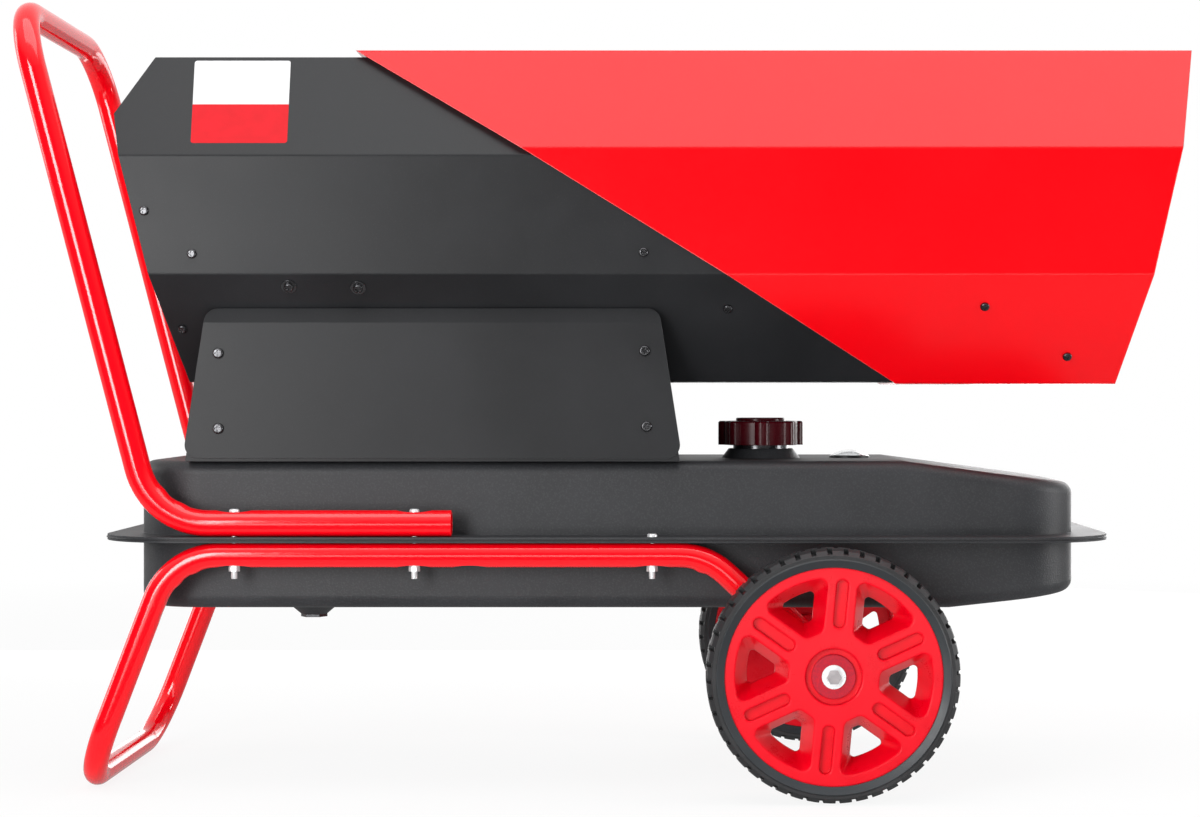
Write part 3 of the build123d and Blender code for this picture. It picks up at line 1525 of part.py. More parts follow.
electrode_yz = ((0.0, electrode_spread), (-electrode_spread, 0.0))
with BuildPart() as burner_head:
    with BuildSketch(duct_plane(burner_rear_x)):
        Circle(burner_r)
    extrude(amount=burner_length)
    with BuildSketch(duct_plane(chamber_rear_x - 2 * casing_sheet)):
        Circle(burner_r + burner_flange_w)
    extrude(amount=2 * casing_sheet)
    with BuildSketch(duct_plane(burner_rear_x + casing_sheet)):
        Circle(burner_r - casing_sheet)
    extrude(amount=burner_length, mode=Mode.SUBTRACT)
    with BuildSketch(duct_plane(burner_rear_x)):
        Circle(nozzle_r + bore_gap)
        with Locations(*electrode_yz):
            Circle(electrode_r + bore_gap)
        with Locations(photocell_yz):
            Circle(photocell_r + bore_gap)
        with PolarLocations(swirl_ring_r, swirl_hole_count, start_angle=swirl_turn):
            Circle(swirl_hole_r)
    extrude(amount=casing_sheet, mode=Mode.SUBTRACT)
save(burner_head.part, "burner_head")

with BuildPart() as nozzle:
    tube_x(nozzle_block_rear_x, nozzle_r, 0, 2 * nozzle_r + nozzle_length)
    tube_x(burner_rear_x + nozzle_length - seat_gap, nozzle_r / 2, 0, nozzle_tip_w)
    chamfer(nozzle.edges().sort_by(Axis.X)[-1], nozzle_tip_w / 2)
    with Locations((nozzle_port_x, 0, casing_axis_z)):
        Box(2 * nozzle_r, 2 * (fuel_y + 1.5 * hose_r), nozzle_block_h)
save(nozzle.part, "nozzle")

with BuildPart() as electrodes:
    ceramic_rear_x = burner_rear_x - electrode_tail
    with BuildSketch(duct_plane(ceramic_rear_x)):
        with Locations(*electrode_yz):
            Circle(electrode_r)
    extrude(amount=burner_length)
    with BuildSketch(duct_plane(ceramic_rear_x - electrode_wire_end)):
        with Locations(*electrode_yz):
            Circle(electrode_r / 3)
    extrude(amount=burner_length + 2 * electrode_wire_end)
save(electrodes.part, "electrodes")

with BuildPart() as photocell:
    with BuildSketch(duct_plane(burner_rear_x - 2 * photocell_r)):
        with Locations(photocell_yz):
            Circle(photocell_r)
    extrude(amount=4 * photocell_r)
    fillet(photocell.faces().sort_by(Axis.X)[0].edges(), photocell_edge_r)
save(photocell.part, "photocell")

# ------------------------------------------------------------------- motor and fan

shaft_front_x = bulkhead_x + shaft_reach
pump_front_x = motor_rear_x - motor_bell_w
pump_rear_x = pump_front_x - pump_w
pump_port_x = pump_rear_x + pump_w / 2
with BuildPart() as motor_body:
    tube_x(motor_rear_x, motor_r, 0, motor_front_x - motor_rear_x)
    tube_x(motor_rear_x - motor_bell_w, motor_bell_r, 0, motor_bell_w)
    tube_x(motor_front_x, motor_bell_r, 0, motor_bell_w)
    fillet(motor_body.faces().filter_by(Axis.X).sort_by(Axis.X)[-1].edges(), motor_edge_r)
    mount_low_x = (motor_rear_x + motor_front_x - mount_ring_w) / 2
    with BuildSketch(duct_plane(motor_rear_x)):
        with PolarLocations(motor_r, fin_count):
            Rectangle(2 * fin_h, fin_h)
    extrude(amount=mount_low_x - motor_rear_x - fin_h)
    with Locations(Location(duct_plane(motor_front_x))):
        Cylinder(shaft_r + bore_gap, 8 * motor_r, mode=Mode.SUBTRACT)
save(motor_body.part, "motor_body")

with BuildPart() as motor_mount:
    ring_in = motor_r + seat_gap
    foot_z_low = casing_bottom_z + casing_sheet
    post_h = casing_axis_z - foot_z_low
    post_space = mount_post_w - 2 * mount_ring_t
    forward = (Align.MIN, Align.CENTER, Align.MIN)
    tube_x(mount_low_x, ring_in + mount_ring_t, 0, mount_ring_w)
    with Locations((mount_low_x, 0, foot_z_low)):
        Box(mount_ring_w, mount_post_w, post_h, align=forward)
        Box(mount_ring_w, post_space, post_h, align=forward, mode=Mode.SUBTRACT)
        Box(mount_ring_w, mount_foot_w, mount_foot_t, align=forward)
    with Locations(Location(duct_plane(mount_low_x))):
        Cylinder(ring_in, 2 * mount_ring_w, mode=Mode.SUBTRACT)
save(motor_mount.part, "motor_mount")

with BuildPart() as motor_shaft:
    shaft_rear_x = pump_rear_x + pump_cavity_w / 3
    tube_x(shaft_rear_x, shaft_r, 0, shaft_front_x - shaft_rear_x)
save(motor_shaft.part, "motor_shaft")

fan_rear_x = bulkhead_x - fan_w / 2 + casing_sheet
with BuildPart() as fan:
    tube_x(fan_rear_x, fan_hub_r, 0, fan_w)
    with Locations(Location(duct_plane(fan_rear_x + fan_w / 2))):
        with PolarLocations((fan_hub_r + fan_r) / 2, fan_blade_count):
            blade_span = fan_r - fan_hub_r + 2 * fan_blade_t
            Box(blade_span, fan_blade_chord, fan_blade_t, rotation=(fan_pitch, 0, 0))
    with Locations(Location(duct_plane(fan_rear_x))):
        Cylinder(fan_r, 4 * fan_w, mode=Mode.INTERSECT)
        Cylinder(shaft_r + bore_gap, 4 * fan_w, mode=Mode.SUBTRACT)
save(fan.part, "fan")

# --------------------------------------------------------------------- air pump

with BuildPart() as pump_body:
    tube_x(pump_rear_x, pump_r, 0, pump_w)
    with Locations((pump_port_x, air_y, casing_axis_z - pump_r)):
        Cylinder(hose_r + pump_port_wall, pump_r / 2)
    with Locations(Location(duct_plane(pump_rear_x))):
        Cylinder(pump_cavity_r, pump_cavity_w, align=rising, mode=Mode.SUBTRACT)
        Cylinder(shaft_r + bore_gap, 4 * pump_w, mode=Mode.SUBTRACT)
save(pump_body.part, "pump_body")

with BuildPart() as pump_rotor:
    rotor_rear_x = pump_rear_x + pump_rotor_gap
    rotor_w = pump_cavity_w - 2 * pump_rotor_gap
    tube_x(rotor_rear_x, pump_rotor_r, shaft_r + bore_gap, rotor_w)
    with BuildSketch(duct_plane(rotor_rear_x)):
        with PolarLocations(pump_rotor_r - vane_slot_depth / 4, vane_count):
            Rectangle(vane_slot_depth, vane_slot_w)
    extrude(amount=rotor_w, mode=Mode.SUBTRACT)
save(pump_rotor.part, "pump_rotor")

cover_rear_x = pump_rear_x - pump_cover_t
gauge_axis_z = casing_axis_z + pressure_gauge_rise
pipe_place = (cover_rear_x + pump_cover_t / 2, pressure_gauge_y, casing_axis_z)
with BuildPart() as pump_end_cover:
    tube_x(cover_rear_x, pump_r, 0, pump_cover_t)
    fillet(pump_end_cover.faces().sort_by(Axis.X)[0].edges(), pump_edge_r)
    with Locations(pipe_place):
        Cylinder(pump_cover_t / 2, pressure_gauge_rise, align=rising)
    with BuildSketch(duct_plane(cover_rear_x)):
        with PolarLocations(pump_r - pump_screw_set, pump_screw_count):
            Circle(pump_screw_r)
    extrude(amount=-pump_screw_h)
save(pump_end_cover.part, "pump_end_cover")

gauge_plane = Plane(
    origin=(cover_rear_x + pump_cover_t, pressure_gauge_y, gauge_axis_z),
    x_dir=(0, -1, 0),
    z_dir=(-1, 0, 0),
)
dial_plane = gauge_plane.offset(pressure_gauge_w - pressure_dial_depth)
with BuildPart() as pressure_gauge:
    with BuildSketch(gauge_plane):
        Circle(pressure_gauge_r)
    extrude(amount=pressure_gauge_w)
    with BuildSketch(dial_plane):
        Circle(pressure_gauge_r - pressure_bezel_w)
    extrude(amount=pressure_dial_depth, mode=Mode.SUBTRACT)
    with BuildSketch(dial_plane):
        Circle(pressure_pin_r)
    extrude(amount=pressure_pin_h)
    with Locations(pipe_place):
        Cylinder(
            pump_cover_t / 2 + bore_gap, pressure_gauge_rise, align=rising, mode=Mode.SUBTRACT
        )
save(pressure_gauge.part, "pressure_gauge")

with BuildPart() as pressure_needle:
    with BuildSketch(dial_plane.offset(2 * seat_gap)):
        Circle(pressure_needle_hub_r)
        with Locations((0, pressure_gauge_r / 4)):
            Rectangle(pressure_needle_w, pressure_needle_length)
        Circle(pressure_pin_r + bore_gap, mode=Mode.SUBTRACT)
    extrude(amount=pressure_needle_t)
save(pressure_needle.part, "pressure_needle")

# ------------------------------------------------------------------- rear fan guard

guard_in = casing_sheet + seat_gap
guard_outline = [*rear_edge(guard_in), *reversed(rear_edge(guard_in + guard_t))]
guard_plate = cut_section(inward(rear_outside, guard_in), None, guard_outline)
with BuildPart() as fan_guard:
    add(guard_plate)
    with BuildSketch(Plane.YZ.offset(rear_peak_x - guard_t)):
        with Locations((0, guard_middle_z)):
            with GridLocations(guard_pitch_y, guard_pitch_z, guard_columns, guard_rows):
                SlotOverall(guard_slot_l, guard_slot_w)
    extrude(amount=abs(rear_peak_x - rear_bottom_x), mode=Mode.SUBTRACT)
save(fan_guard.part, "fan_guard")

# ------------------------------------------------------------- fuel and air lines

hose_low_z = tank_bottom_z + tank_sheet + pickup_lift
filter_front_x = filter_rear_x + filter_length
port_z = casing_axis_z - nozzle_block_h / 2 - seat_gap
save(
    hose(
        [
            (pickup_x, fuel_y, hose_low_z),
            (pickup_x, fuel_y, pedestal_run_z),
            (filter_front_x + seat_gap, fuel_y, pedestal_run_z),
        ],
        [hose_bend_r],
        hose_r,
    ),
    "fuel_pickup_hose",
)

with BuildPart() as fuel_filter:
    with Locations(Location((filter_rear_x, fuel_y, pedestal_run_z), (0, 90, 0))):
        Cylinder(hose_r, filter_length, align=rising)
    with Locations(Location((filter_rear_x + filter_neck, fuel_y, pedestal_run_z), (0, 90, 0))):
        Cylinder(filter_r, filter_length - 2 * filter_neck, align=rising)
    bowl_edges = fuel_filter.edges().filter_by(GeomType.CIRCLE).filter_by(
        lambda e: e.radius > filter_r - bore_gap
    )
    fillet(bowl_edges, filter_edge_r)
save(fuel_filter.part, "fuel_filter")

save(
    hose(
        [
            (filter_rear_x - seat_gap, fuel_y, pedestal_run_z),
            (nozzle_port_x, fuel_y, pedestal_run_z),
            (nozzle_port_x, fuel_y, port_z),
        ],
        [hose_bend_r],
        hose_r,
    ),
    "fuel_line",
)

pump_port_z = casing_axis_z - pump_r - pump_r / 4 - seat_gap
save(
    hose(
        [
            (pump_port_x, air_y, pump_port_z),
            (pump_port_x, air_y, air_jog_z),
            (air_drop_x, air_y, air_jog_z),
            (air_drop_x, air_y, pedestal_run_z),
            (nozzle_port_x, air_y, pedestal_run_z),
            (nozzle_port_x, air_y, port_z),
        ],
        [air_bend_r, air_bend_r, hose_bend_r, hose_bend_r],
        hose_r,
    ),
    "air_hose",
)
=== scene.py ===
"""The looks of a forced air heater on a wheeled frame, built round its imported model."""

import json
import math

import bpy
from mathutils import Matrix, Vector


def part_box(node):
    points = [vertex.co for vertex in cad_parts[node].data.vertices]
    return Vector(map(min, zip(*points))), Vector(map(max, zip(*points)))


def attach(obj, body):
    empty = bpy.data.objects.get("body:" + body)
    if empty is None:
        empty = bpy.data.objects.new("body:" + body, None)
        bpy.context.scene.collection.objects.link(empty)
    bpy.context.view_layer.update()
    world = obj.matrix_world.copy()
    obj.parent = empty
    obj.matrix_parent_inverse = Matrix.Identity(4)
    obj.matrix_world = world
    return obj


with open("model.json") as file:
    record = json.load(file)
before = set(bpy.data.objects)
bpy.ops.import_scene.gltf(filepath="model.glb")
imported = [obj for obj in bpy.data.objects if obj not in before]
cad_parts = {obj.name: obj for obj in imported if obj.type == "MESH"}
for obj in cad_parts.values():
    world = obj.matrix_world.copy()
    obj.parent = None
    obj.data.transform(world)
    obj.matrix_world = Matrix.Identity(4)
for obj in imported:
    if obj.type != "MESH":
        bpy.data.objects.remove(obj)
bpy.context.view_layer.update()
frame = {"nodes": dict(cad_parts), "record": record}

MM = 0.001
TAU = math.tau
AHEAD, ASIDE, UP = Vector((1, 0, 0)), Vector((0, 1, 0)), Vector((0, 0, 1))
SIDES = (-1, 1)  # the near side and the far side
RED = (0.77, 0.0, 0.004)
TUBE_RED = (0.86, 0.0, 0.006)
PLASTIC_RED = (0.69, 0.0, 0.01)
# painted shade: the red filler cap is coloured near black for the shade it sits in
SHADED_CAP_RED = (0.05, 0.001, 0.004)
BLACK = (0.0125, 0.013, 0.0145)
WHITE = (1.0, 1.0, 1.0)
EDGE_SHARPNESS = 4.0  # how fast paler edges fade in, both worn edges and edges painted as a highlight


def middle(node):
    """The middle of a node's box at rest, in metres."""
    low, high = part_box(node)
    return (low + high) / 2


WHEEL = middle("tyre_right")
RIM_R = (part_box("rim_right")[1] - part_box("rim_right")[0]).z / 2
BEAD_R = 117.0 * MM  # outer edge of the tyre's smooth bead
HUB_R = 22.2 * MM  # raised boss round the axle's end
HUB_FACE_Y = 243.0 * MM  # out from the heater's middle, just inside the boss's end


# ------------------------------------------------------------------ shader writing


class Wire:
    """A value, a colour or a vector on its way from one shader node to the next."""

    def __init__(self, writer, socket):
        self.writer = writer
        self.socket = socket

    def _math(self, operation, first, second):
        inputs = {0: first, 1: second}
        return self.writer.node("ShaderNodeMath", {"operation": operation}, inputs)

    def __add__(self, other):
        return self._math("ADD", self, other)

    def __radd__(self, other):
        return self._math("ADD", other, self)

    def __sub__(self, other):
        return self._math("SUBTRACT", self, other)

    def __rsub__(self, other):
        return self._math("SUBTRACT", other, self)

    def __mul__(self, other):
        return self._math("MULTIPLY", self, other)

    def __rmul__(self, other):
        return self._math("MULTIPLY", other, self)

    def __pow__(self, other):
        return self._math("POWER", self, other)

    def __gt__(self, other):
        return self._math("GREATER_THAN", self, other)

    def __lt__(self, other):
        return self._math("LESS_THAN", self, other)

    def __abs__(self):
        return self._math("ABSOLUTE", self, 0.0)


class Shading:
    """Writes nodes into one node tree."""

    def __init__(self, tree):
        self.tree = tree

    def feed(self, socket, value):
        if isinstance(value, Wire):
            self.tree.links.new(value.socket, socket)
        elif isinstance(value, tuple) and len(value) == 3 and socket.type == "RGBA":
            socket.default_value = (*value, 1.0)
        else:
            socket.default_value = value

    def node(self, kind, settings=None, inputs=None, output=0):
        """A node with its settings and inputs; gives back one of its outputs."""
        made = self.tree.nodes.new(kind)
        for key, value in (settings or {}).items():
            if key == "stops":
                self._stops(made.color_ramp, value)
            else:
                setattr(made, key, value)
        for key, value in (inputs or {}).items():
            self.feed(made.inputs[key], value)
        return Wire(self, made.outputs[output])

    def _stops(self, ramp, stops):
        while len(ramp.elements) < len(stops):
            ramp.elements.new(0.5)
        for element, (place, colour) in zip(ramp.elements, stops):
            element.position = place
            element.color = (*colour, 1.0)

    def place(self, stretch=(1, 1, 1)):
        """Where a point is on the heater, in metres, stretched along the axes."""
        where = self.node("ShaderNodeTexCoord", output="Object")
        settings = {"operation": "MULTIPLY"}
        return self.node("ShaderNodeVectorMath", settings, {0: where, 1: stretch})

    def along(self, axis, coordinates="Object"):
        """One coordinate of a point, in metres on the heater's own axes."""
        where = self.node("ShaderNodeTexCoord", output=coordinates)
        return self.node("ShaderNodeSeparateXYZ", None, {0: where}, "XYZ".index(axis))

    def from_axle(self):
        """How far a point is from the wheels' own axis, in metres."""
        ahead = self.along("X") - WHEEL.x
        above = self.along("Z") - WHEEL.z
        return (ahead * ahead + above * above) ** 0.5

    def grain(self, size, detail=2.0, stretch=(1, 1, 1)):
        """Soft noise with features of about the given size in metres."""
        inputs = {"Vector": self.place(stretch), "Scale": 1.0 / size, "Detail": detail}
        return self.node("ShaderNodeTexNoise", None, inputs)

    def pimples(self, size):
        """Distance to the middle of irregular rounded cells of about the given size."""
        inputs = {"Vector": self.place(), "Scale": 1.0 / size}
        return self.node("ShaderNodeTexVoronoi", {"feature": "SMOOTH_F1"}, inputs)

    def between(self, value, low, high, new_low=0.0, new_high=1.0):
        """Maps low..high of a value on to new_low..new_high, held at both ends."""
        inputs = {0: value, 1: low, 2: high, 3: new_low, 4: new_high}
        return self.node("ShaderNodeMapRange", {"clamp": True}, inputs)

    def band(self, value, low, high, soft):
        """1 where a value is from low to high, with soft edges, and 0 elsewhere."""
        rising = self.between(value, low - soft, low + soft)
        return rising * self.between(value, high - soft, high + soft, 1.0, 0.0)

    def blend(self, share, first, second):
        """One colour turning into another as share goes from 0 to 1."""
        inputs = {0: share, 6: first, 7: second}
        return self.node("ShaderNodeMix", {"data_type": "RGBA"}, inputs, 2)

    def eased(self, radius):
        """Normals of the surface with its edges rounded to a radius in metres."""
        return self.node("ShaderNodeBevel", {"samples": 4}, {"Radius": radius})

    def edges(self, radius):
        """1 on sharp outside and inside edges, 0 on flat faces."""
        true_normal = self.node("ShaderNodeNewGeometry", output="Normal")
        settings = {"operation": "DOT_PRODUCT"}
        inputs = {0: self.eased(radius), 1: true_normal}
        facing = self.node("ShaderNodeVectorMath", settings, inputs, "Value")
        return self.between(1.0 - facing, 0.0, 1.0 / EDGE_SHARPNESS)

    def rays(self):
        """1 for rays from the camera or through clear plastic, and 1 for mirrored ones."""
        path = "ShaderNodeLightPath"
        straight = self.node(path, output="Is Camera Ray")
        through = self.node(path, output="Is Transmission Ray")
        mirrored = self.node(path, output="Is Glossy Ray")
        return self.between(straight + through, 0.0, 1.0), mirrored


class Finish(Shading):
    """One material: a Principled surface, and the nodes that vary it."""

    def __init__(self, name, **surface):
        self.material = bpy.data.materials.new(name)
        self.material.use_nodes = True
        super().__init__(self.material.node_tree)
        self.shader = self.tree.nodes["Principled BSDF"]
        for key, value in surface.items():
            self.surface(key.replace("_", " "), value)

    def surface(self, name, value):
        """Sets or links one of the surface's own sockets."""
        self.feed(self.shader.inputs[name], value)

    def relief(self, *layers, edge=0.0):
        """Feeds the surface's Normal with heights, each a pair of a wire and a depth."""
        normal = self.eased(edge) if edge else None
        for height, depth in layers:
            inputs = {"Height": height, "Distance": depth, "Strength": 1.0}
            if normal:
                inputs["Normal"] = normal
            normal = self.node("ShaderNodeBump", None, inputs)
        self.surface("Normal", normal)


def shade(colour, factor):
    """A colour made lighter or darker."""
    return tuple(min(1.0, part * factor) for part in colour)


# ----------------------------------------------------------------------- finishes


def enamel(name, colour, roughness, gloss, wear_and_highlight, edge):
    """Baked enamel on sheet or tube: orange peel, and a paler line along edges and bends, partly
    paint running off sharp edges and partly a painted highlight on the bends.
    """
    finish = Finish(name, Specular_IOR_Level=gloss)
    tone = finish.grain(0.16, 3.0)
    fine = finish.grain(0.004, 2.0)
    body = finish.blend(finish.between(tone, 0.35, 0.65), shade(colour, 0.96), shade(colour, 1.03))
    # painted highlight: a pale pink line on edges and bends, on top of paint running off sharp
    # edges
    thin_paint_and_highlight = finish.between(finish.grain(0.012, 4.0), 0.3, 0.7, 0.5, 1.0) * finish.edges(edge)
    finish.surface("Base Color", finish.blend(thin_paint_and_highlight * wear_and_highlight, body, (0.95, 0.35, 0.34)))
    low, high = roughness - 0.03, roughness + 0.04
    finish.surface("Roughness", finish.between(fine + tone, 0.6, 1.4, low, high))
    finish.relief((finish.grain(0.0016, 2.0), 0.000008), edge=edge)
    return finish.material


def satin_black(name, roughness=0.42):
    """Black powder coat on sheet: fine grain, faint cloudiness, and grey edges, partly worn and
    partly a painted highlight on the bends.
    """
    finish = Finish(name, Specular_IOR_Level=0.26)
    cloud = finish.grain(0.12, 4.0)
    grain = finish.grain(0.0009, 2.0)
    body = finish.blend(finish.between(cloud, 0.35, 0.65), shade(BLACK, 0.85), shade(BLACK, 1.2))
    flecked = finish.blend(finish.between(grain, 0.62, 0.75, 0, 0.25), body, (0.06, 0.06, 0.065))
    # painted highlight: grey along edges and bends, with some of it edge whitening from being worn
    edges = finish.edges(0.0012) * 0.3
    finish.surface("Base Color", finish.blend(edges, flecked, (0.16, 0.16, 0.165)))
    low, high = roughness - 0.05, roughness + 0.05
    finish.surface("Roughness", finish.between(cloud + grain * 0.5, 0.5, 1.0, low, high))
    finish.relief((grain, 0.00001), edge=0.0012)
    return finish.material


def textured_black(name):
    """Coarse powder coat on the tank: close, shallow pimples, and a painted highlight that lightens
    their crests.
    """
    finish = Finish(name, Specular_IOR_Level=0.35)
    cloud = finish.grain(0.09, 3.0)
    pimples = finish.pimples(0.0019)
    fine = finish.grain(0.0011, 3.0)
    lit_pimple_crests = finish.between(pimples, 0.15, 0.45, 1.0, 0.0)
    body = finish.blend(finish.between(cloud, 0.35, 0.65), shade(BLACK, 1.6), shade(BLACK, 2.1))
    # painted highlight: the pimples' crests are coloured lighter, as if they caught the light
    finish.surface("Base Color", finish.blend(lit_pimple_crests * 0.3, body, (0.055, 0.056, 0.06)))
    finish.surface("Roughness", finish.between(cloud, 0.3, 0.7, 0.46, 0.54))
    finish.relief((lit_pimple_crests, 0.00008), (fine, 0.00003), edge=0.001)
    return finish.material


def plated(name, colour, roughness=0.26, edge=0.0004, metal=1.0):
    """Plate on steel or turned metal: faint cloudy patches and fine turning marks."""
    finish = Finish(name, Metallic=metal)
    cloud = finish.grain(0.006, 4.0)
    fine = finish.grain(0.0005, 2.0, (1, 4, 1))
    patches = finish.between(cloud, 0.35, 0.7)
    finish.surface("Base Color", finish.blend(patches, colour, shade(colour, 0.76)))
    low, high = roughness - 0.08, roughness + 0.12
    finish.surface("Roughness", finish.between(fine + cloud, 0.6, 1.4, low, high))
    finish.relief((fine, 0.000006), edge=edge)
    return finish.material


def galvanised(name):
    """Galvanised sheet with its spangle."""
    finish = Finish(name, Metallic=0.9)
    inputs = {"Vector": finish.place(), "Scale": 110.0}
    spangle = finish.node("ShaderNodeTexVoronoi", None, inputs, "Color")
    tone = finish.node("ShaderNodeSeparateColor", None, {0: spangle}, 0)
    finish.surface("Base Color", finish.blend(tone, (0.46, 0.48, 0.50), (0.68, 0.70, 0.72)))
    finish.surface("Roughness", finish.between(tone, 0, 1, 0.28, 0.46))
    finish.relief((finish.grain(0.003, 3.0), 0.00002), edge=0.0005)
    return finish.material


def heat_steel(name):
    """Stainless sheet that runs from bright through straw and blue towards the flame."""
    finish = Finish(name, Metallic=0.95)
    wander = finish.grain(0.05, 3.0)
    along = finish.between(finish.along("X") + wander * 0.16, -0.05, 0.62)
    tints = (
        (0.0, (0.56, 0.54, 0.52)),
        (0.35, (0.54, 0.44, 0.31)),
        (0.55, (0.38, 0.28, 0.29)),
        (0.75, (0.25, 0.29, 0.38)),
        (1.0, (0.42, 0.42, 0.42)),
    )
    streaks = finish.grain(0.004, 4.0, (0.15, 1, 1))
    finish.surface("Base Color", finish.node("ShaderNodeValToRGB", {"stops": tints}, {0: along}))
    finish.surface("Roughness", finish.between(streaks, 0.3, 0.7, 0.27, 0.5))
    finish.relief((streaks, 0.000012), edge=0.0006)
    return finish.material


def cast_metal(name, colour=(0.50, 0.51, 0.52)):
    """Die cast aluminium, a little rough."""
    finish = Finish(name, Metallic=0.85)
    cloud = finish.grain(0.02, 4.0)
    pits = finish.grain(0.0012, 3.0)
    patches = finish.between(cloud, 0.3, 0.7)
    finish.surface("Base Color", finish.blend(patches, shade(colour, 0.85), shade(colour, 1.1)))
    finish.surface("Roughness", finish.between(pits, 0.3, 0.7, 0.38, 0.55))
    finish.relief((pits, 0.00005), edge=0.0008)
    return finish.material


def moulded_body(finish, colour, edge):
    """Moulded plastic's colour: faintly uneven, lighter where edges are burnished."""
    cloud = finish.grain(0.03, 3.0)
    body = finish.blend(finish.between(cloud, 0.35, 0.65), shade(colour, 0.93), shade(colour, 1.05))
    return finish.blend(finish.edges(edge) * 0.15, body, shade(colour, 1.9))


def moulded(
    name, colour, roughness=0.35, grain_size=0.0012, depth=0.00001, gloss=0.5, edge=0.0008
):
    """Moulded plastic: even colour, slight sink marks and a fine grain."""
    finish = Finish(name, Specular_IOR_Level=gloss)
    cloud = finish.grain(0.03, 3.0)
    grain = finish.grain(grain_size, 2.0)
    finish.surface("Base Color", moulded_body(finish, colour, edge))
    low, high = roughness - 0.05, roughness + 0.08
    finish.surface("Roughness", finish.between(cloud + grain * 0.4, 0.5, 0.9, low, high))
    finish.relief((cloud, 0.0001), (grain, depth), edge=edge)
    return finish.material


def rim_plastic(name):
    """The wheels' glossy plastic, dull and scuffed on the hub's end where a washer turns."""
    finish = Finish(name, Specular_IOR_Level=0.2)
    cloud = finish.grain(0.03, 3.0)
    grain = finish.grain(0.0016, 2.0)
    scuffs = finish.grain(0.0022, 5.0)
    outward = abs(finish.along("Y"))
    hub_end = finish.band(finish.from_axle(), -0.01, HUB_R, 0.0004) * (outward > HUB_FACE_Y)
    scuffed = hub_end * finish.between(scuffs, 0.3, 0.62, 0.55, 1.0)
    body = moulded_body(finish, PLASTIC_RED, 0.0022)
    finish.surface("Base Color", finish.blend(scuffed, body, (0.36, 0.012, 0.028)))
    gloss = finish.between(cloud + grain * 0.4, 0.5, 0.9, 0.26, 0.36)
    finish.surface("Roughness", gloss + scuffed * 0.25)
    finish.relief((cloud, 0.00012), (scuffs * hub_end, 0.0003), (grain, 0.00001), edge=0.0022)
    return finish.material


def tyre_rubber(name):
    """Black rubber, finely pitted and dusty, with a smooth bluish bead next to the rim."""
    finish = Finish(name, Specular_IOR_Level=0.45)
    cloud = finish.grain(0.035, 4.0)
    pits = finish.grain(0.0009, 4.0)
    dust = finish.between(cloud + pits * 0.5, 0.72, 1.0, 0.0, 0.3)
    bead = finish.band(finish.from_axle(), RIM_R - 0.004, BEAD_R, 0.0006)
    dusty = finish.blend(dust, (0.015, 0.0155, 0.017), (0.065, 0.065, 0.068))
    finish.surface("Base Color", finish.blend(bead, dusty, (0.022, 0.027, 0.031)))
    rough = finish.between(cloud, 0.3, 0.7, 0.5, 0.66)
    finish.surface("Roughness", rough - bead * 0.14)
    finish.relief((pits * (1.0 - bead), 0.00006), edge=0.001)
    return finish.material


def clear_dome(name):
    """Clear plastic over the fuel gauge, with hair scratches."""
    finish = Finish(name, Transmission_Weight=1.0, IOR=1.46)
    scratches = finish.grain(0.0008, 5.0, (0.2, 1, 1))
    finish.surface("Base Color", finish.blend(scratches, (0.93, 0.95, 0.96), WHITE))
    finish.surface("Roughness", finish.between(scratches, 0.62, 0.7, 0.03, 0.16))
    finish.relief((scratches, 0.000004))
    return finish.material


def circuit_board(name):
    """Green lacquer over fine tracks."""
    finish = Finish(name, Roughness=0.3)
    inputs = {"Vector": finish.place(), "Scale": 160.0, "Mortar Size": 0.06}
    tracks = finish.node("ShaderNodeTexBrick", {"offset": 0.5}, inputs, 1)
    finish.surface("Base Color", finish.blend(tracks, (0.01, 0.12, 0.05), (0.05, 0.26, 0.12)))
    finish.relief((tracks, 0.00003))
    return finish.material


def two_tone_film(name, split):
    """Plain printed film: a white field over a red one, parted at a height in metres."""
    finish = Finish(name, Specular_IOR_Level=0.1)
    ripple = finish.grain(0.018, 3.0)
    white = finish.blend(finish.between(ripple, 0.3, 0.7), (0.66, 0.66, 0.67), (0.70, 0.70, 0.71))
    red = finish.blend(finish.between(ripple, 0.3, 0.7), (0.56, 0.008, 0.014), (0.62, 0.01, 0.018))
    finish.surface("Base Color", finish.blend(finish.along("Z") > split, red, white))
    finish.surface("Roughness", finish.between(ripple, 0.3, 0.7, 0.3, 0.4))
    finish.relief((ripple, 0.00006))
    return finish.material


def metal_finishes():
    """Enamels, powder coats, plate and bare metals, by slot."""
    casing = enamel("red casing enamel", RED, roughness=0.2, gloss=0.3, wear_and_highlight=0.9, edge=0.0015)
    frame_tube = enamel(
        "red frame enamel", TUBE_RED, roughness=0.12, gloss=0.6, wear_and_highlight=0.3, edge=0.0004
    )
    black_zinc = plated(
        "black zinc", (0.10, 0.10, 0.105), roughness=0.22, edge=0.0005, metal=0.95
    )
    neck = plated("turned neck", (0.68, 0.69, 0.70), roughness=0.34, edge=0.0006, metal=0.8)
    return {
        "casing_red": casing,
        "casing_black": satin_black("black casing powder coat"),
        "tank_black": textured_black("tank powder coat"),
        "seam_black": satin_black("seam powder coat", 0.36),
        "frame_red": frame_tube,
        "zinc": plated("bright zinc", (0.86, 0.87, 0.88), roughness=0.3, metal=0.5),
        "dull_zinc": plated("dull zinc", (0.45, 0.42, 0.43), roughness=0.42, metal=0.7),
        "black_screw": black_zinc,
        "neck_grey": neck,
        "galvanised": galvanised("galvanised sheet"),
        "heat_steel": heat_steel("heat tinted steel"),
        "motor_grey": cast_metal("cast aluminium"),
        "brass": plated("turned brass", (0.78, 0.55, 0.24), roughness=0.24),
    }


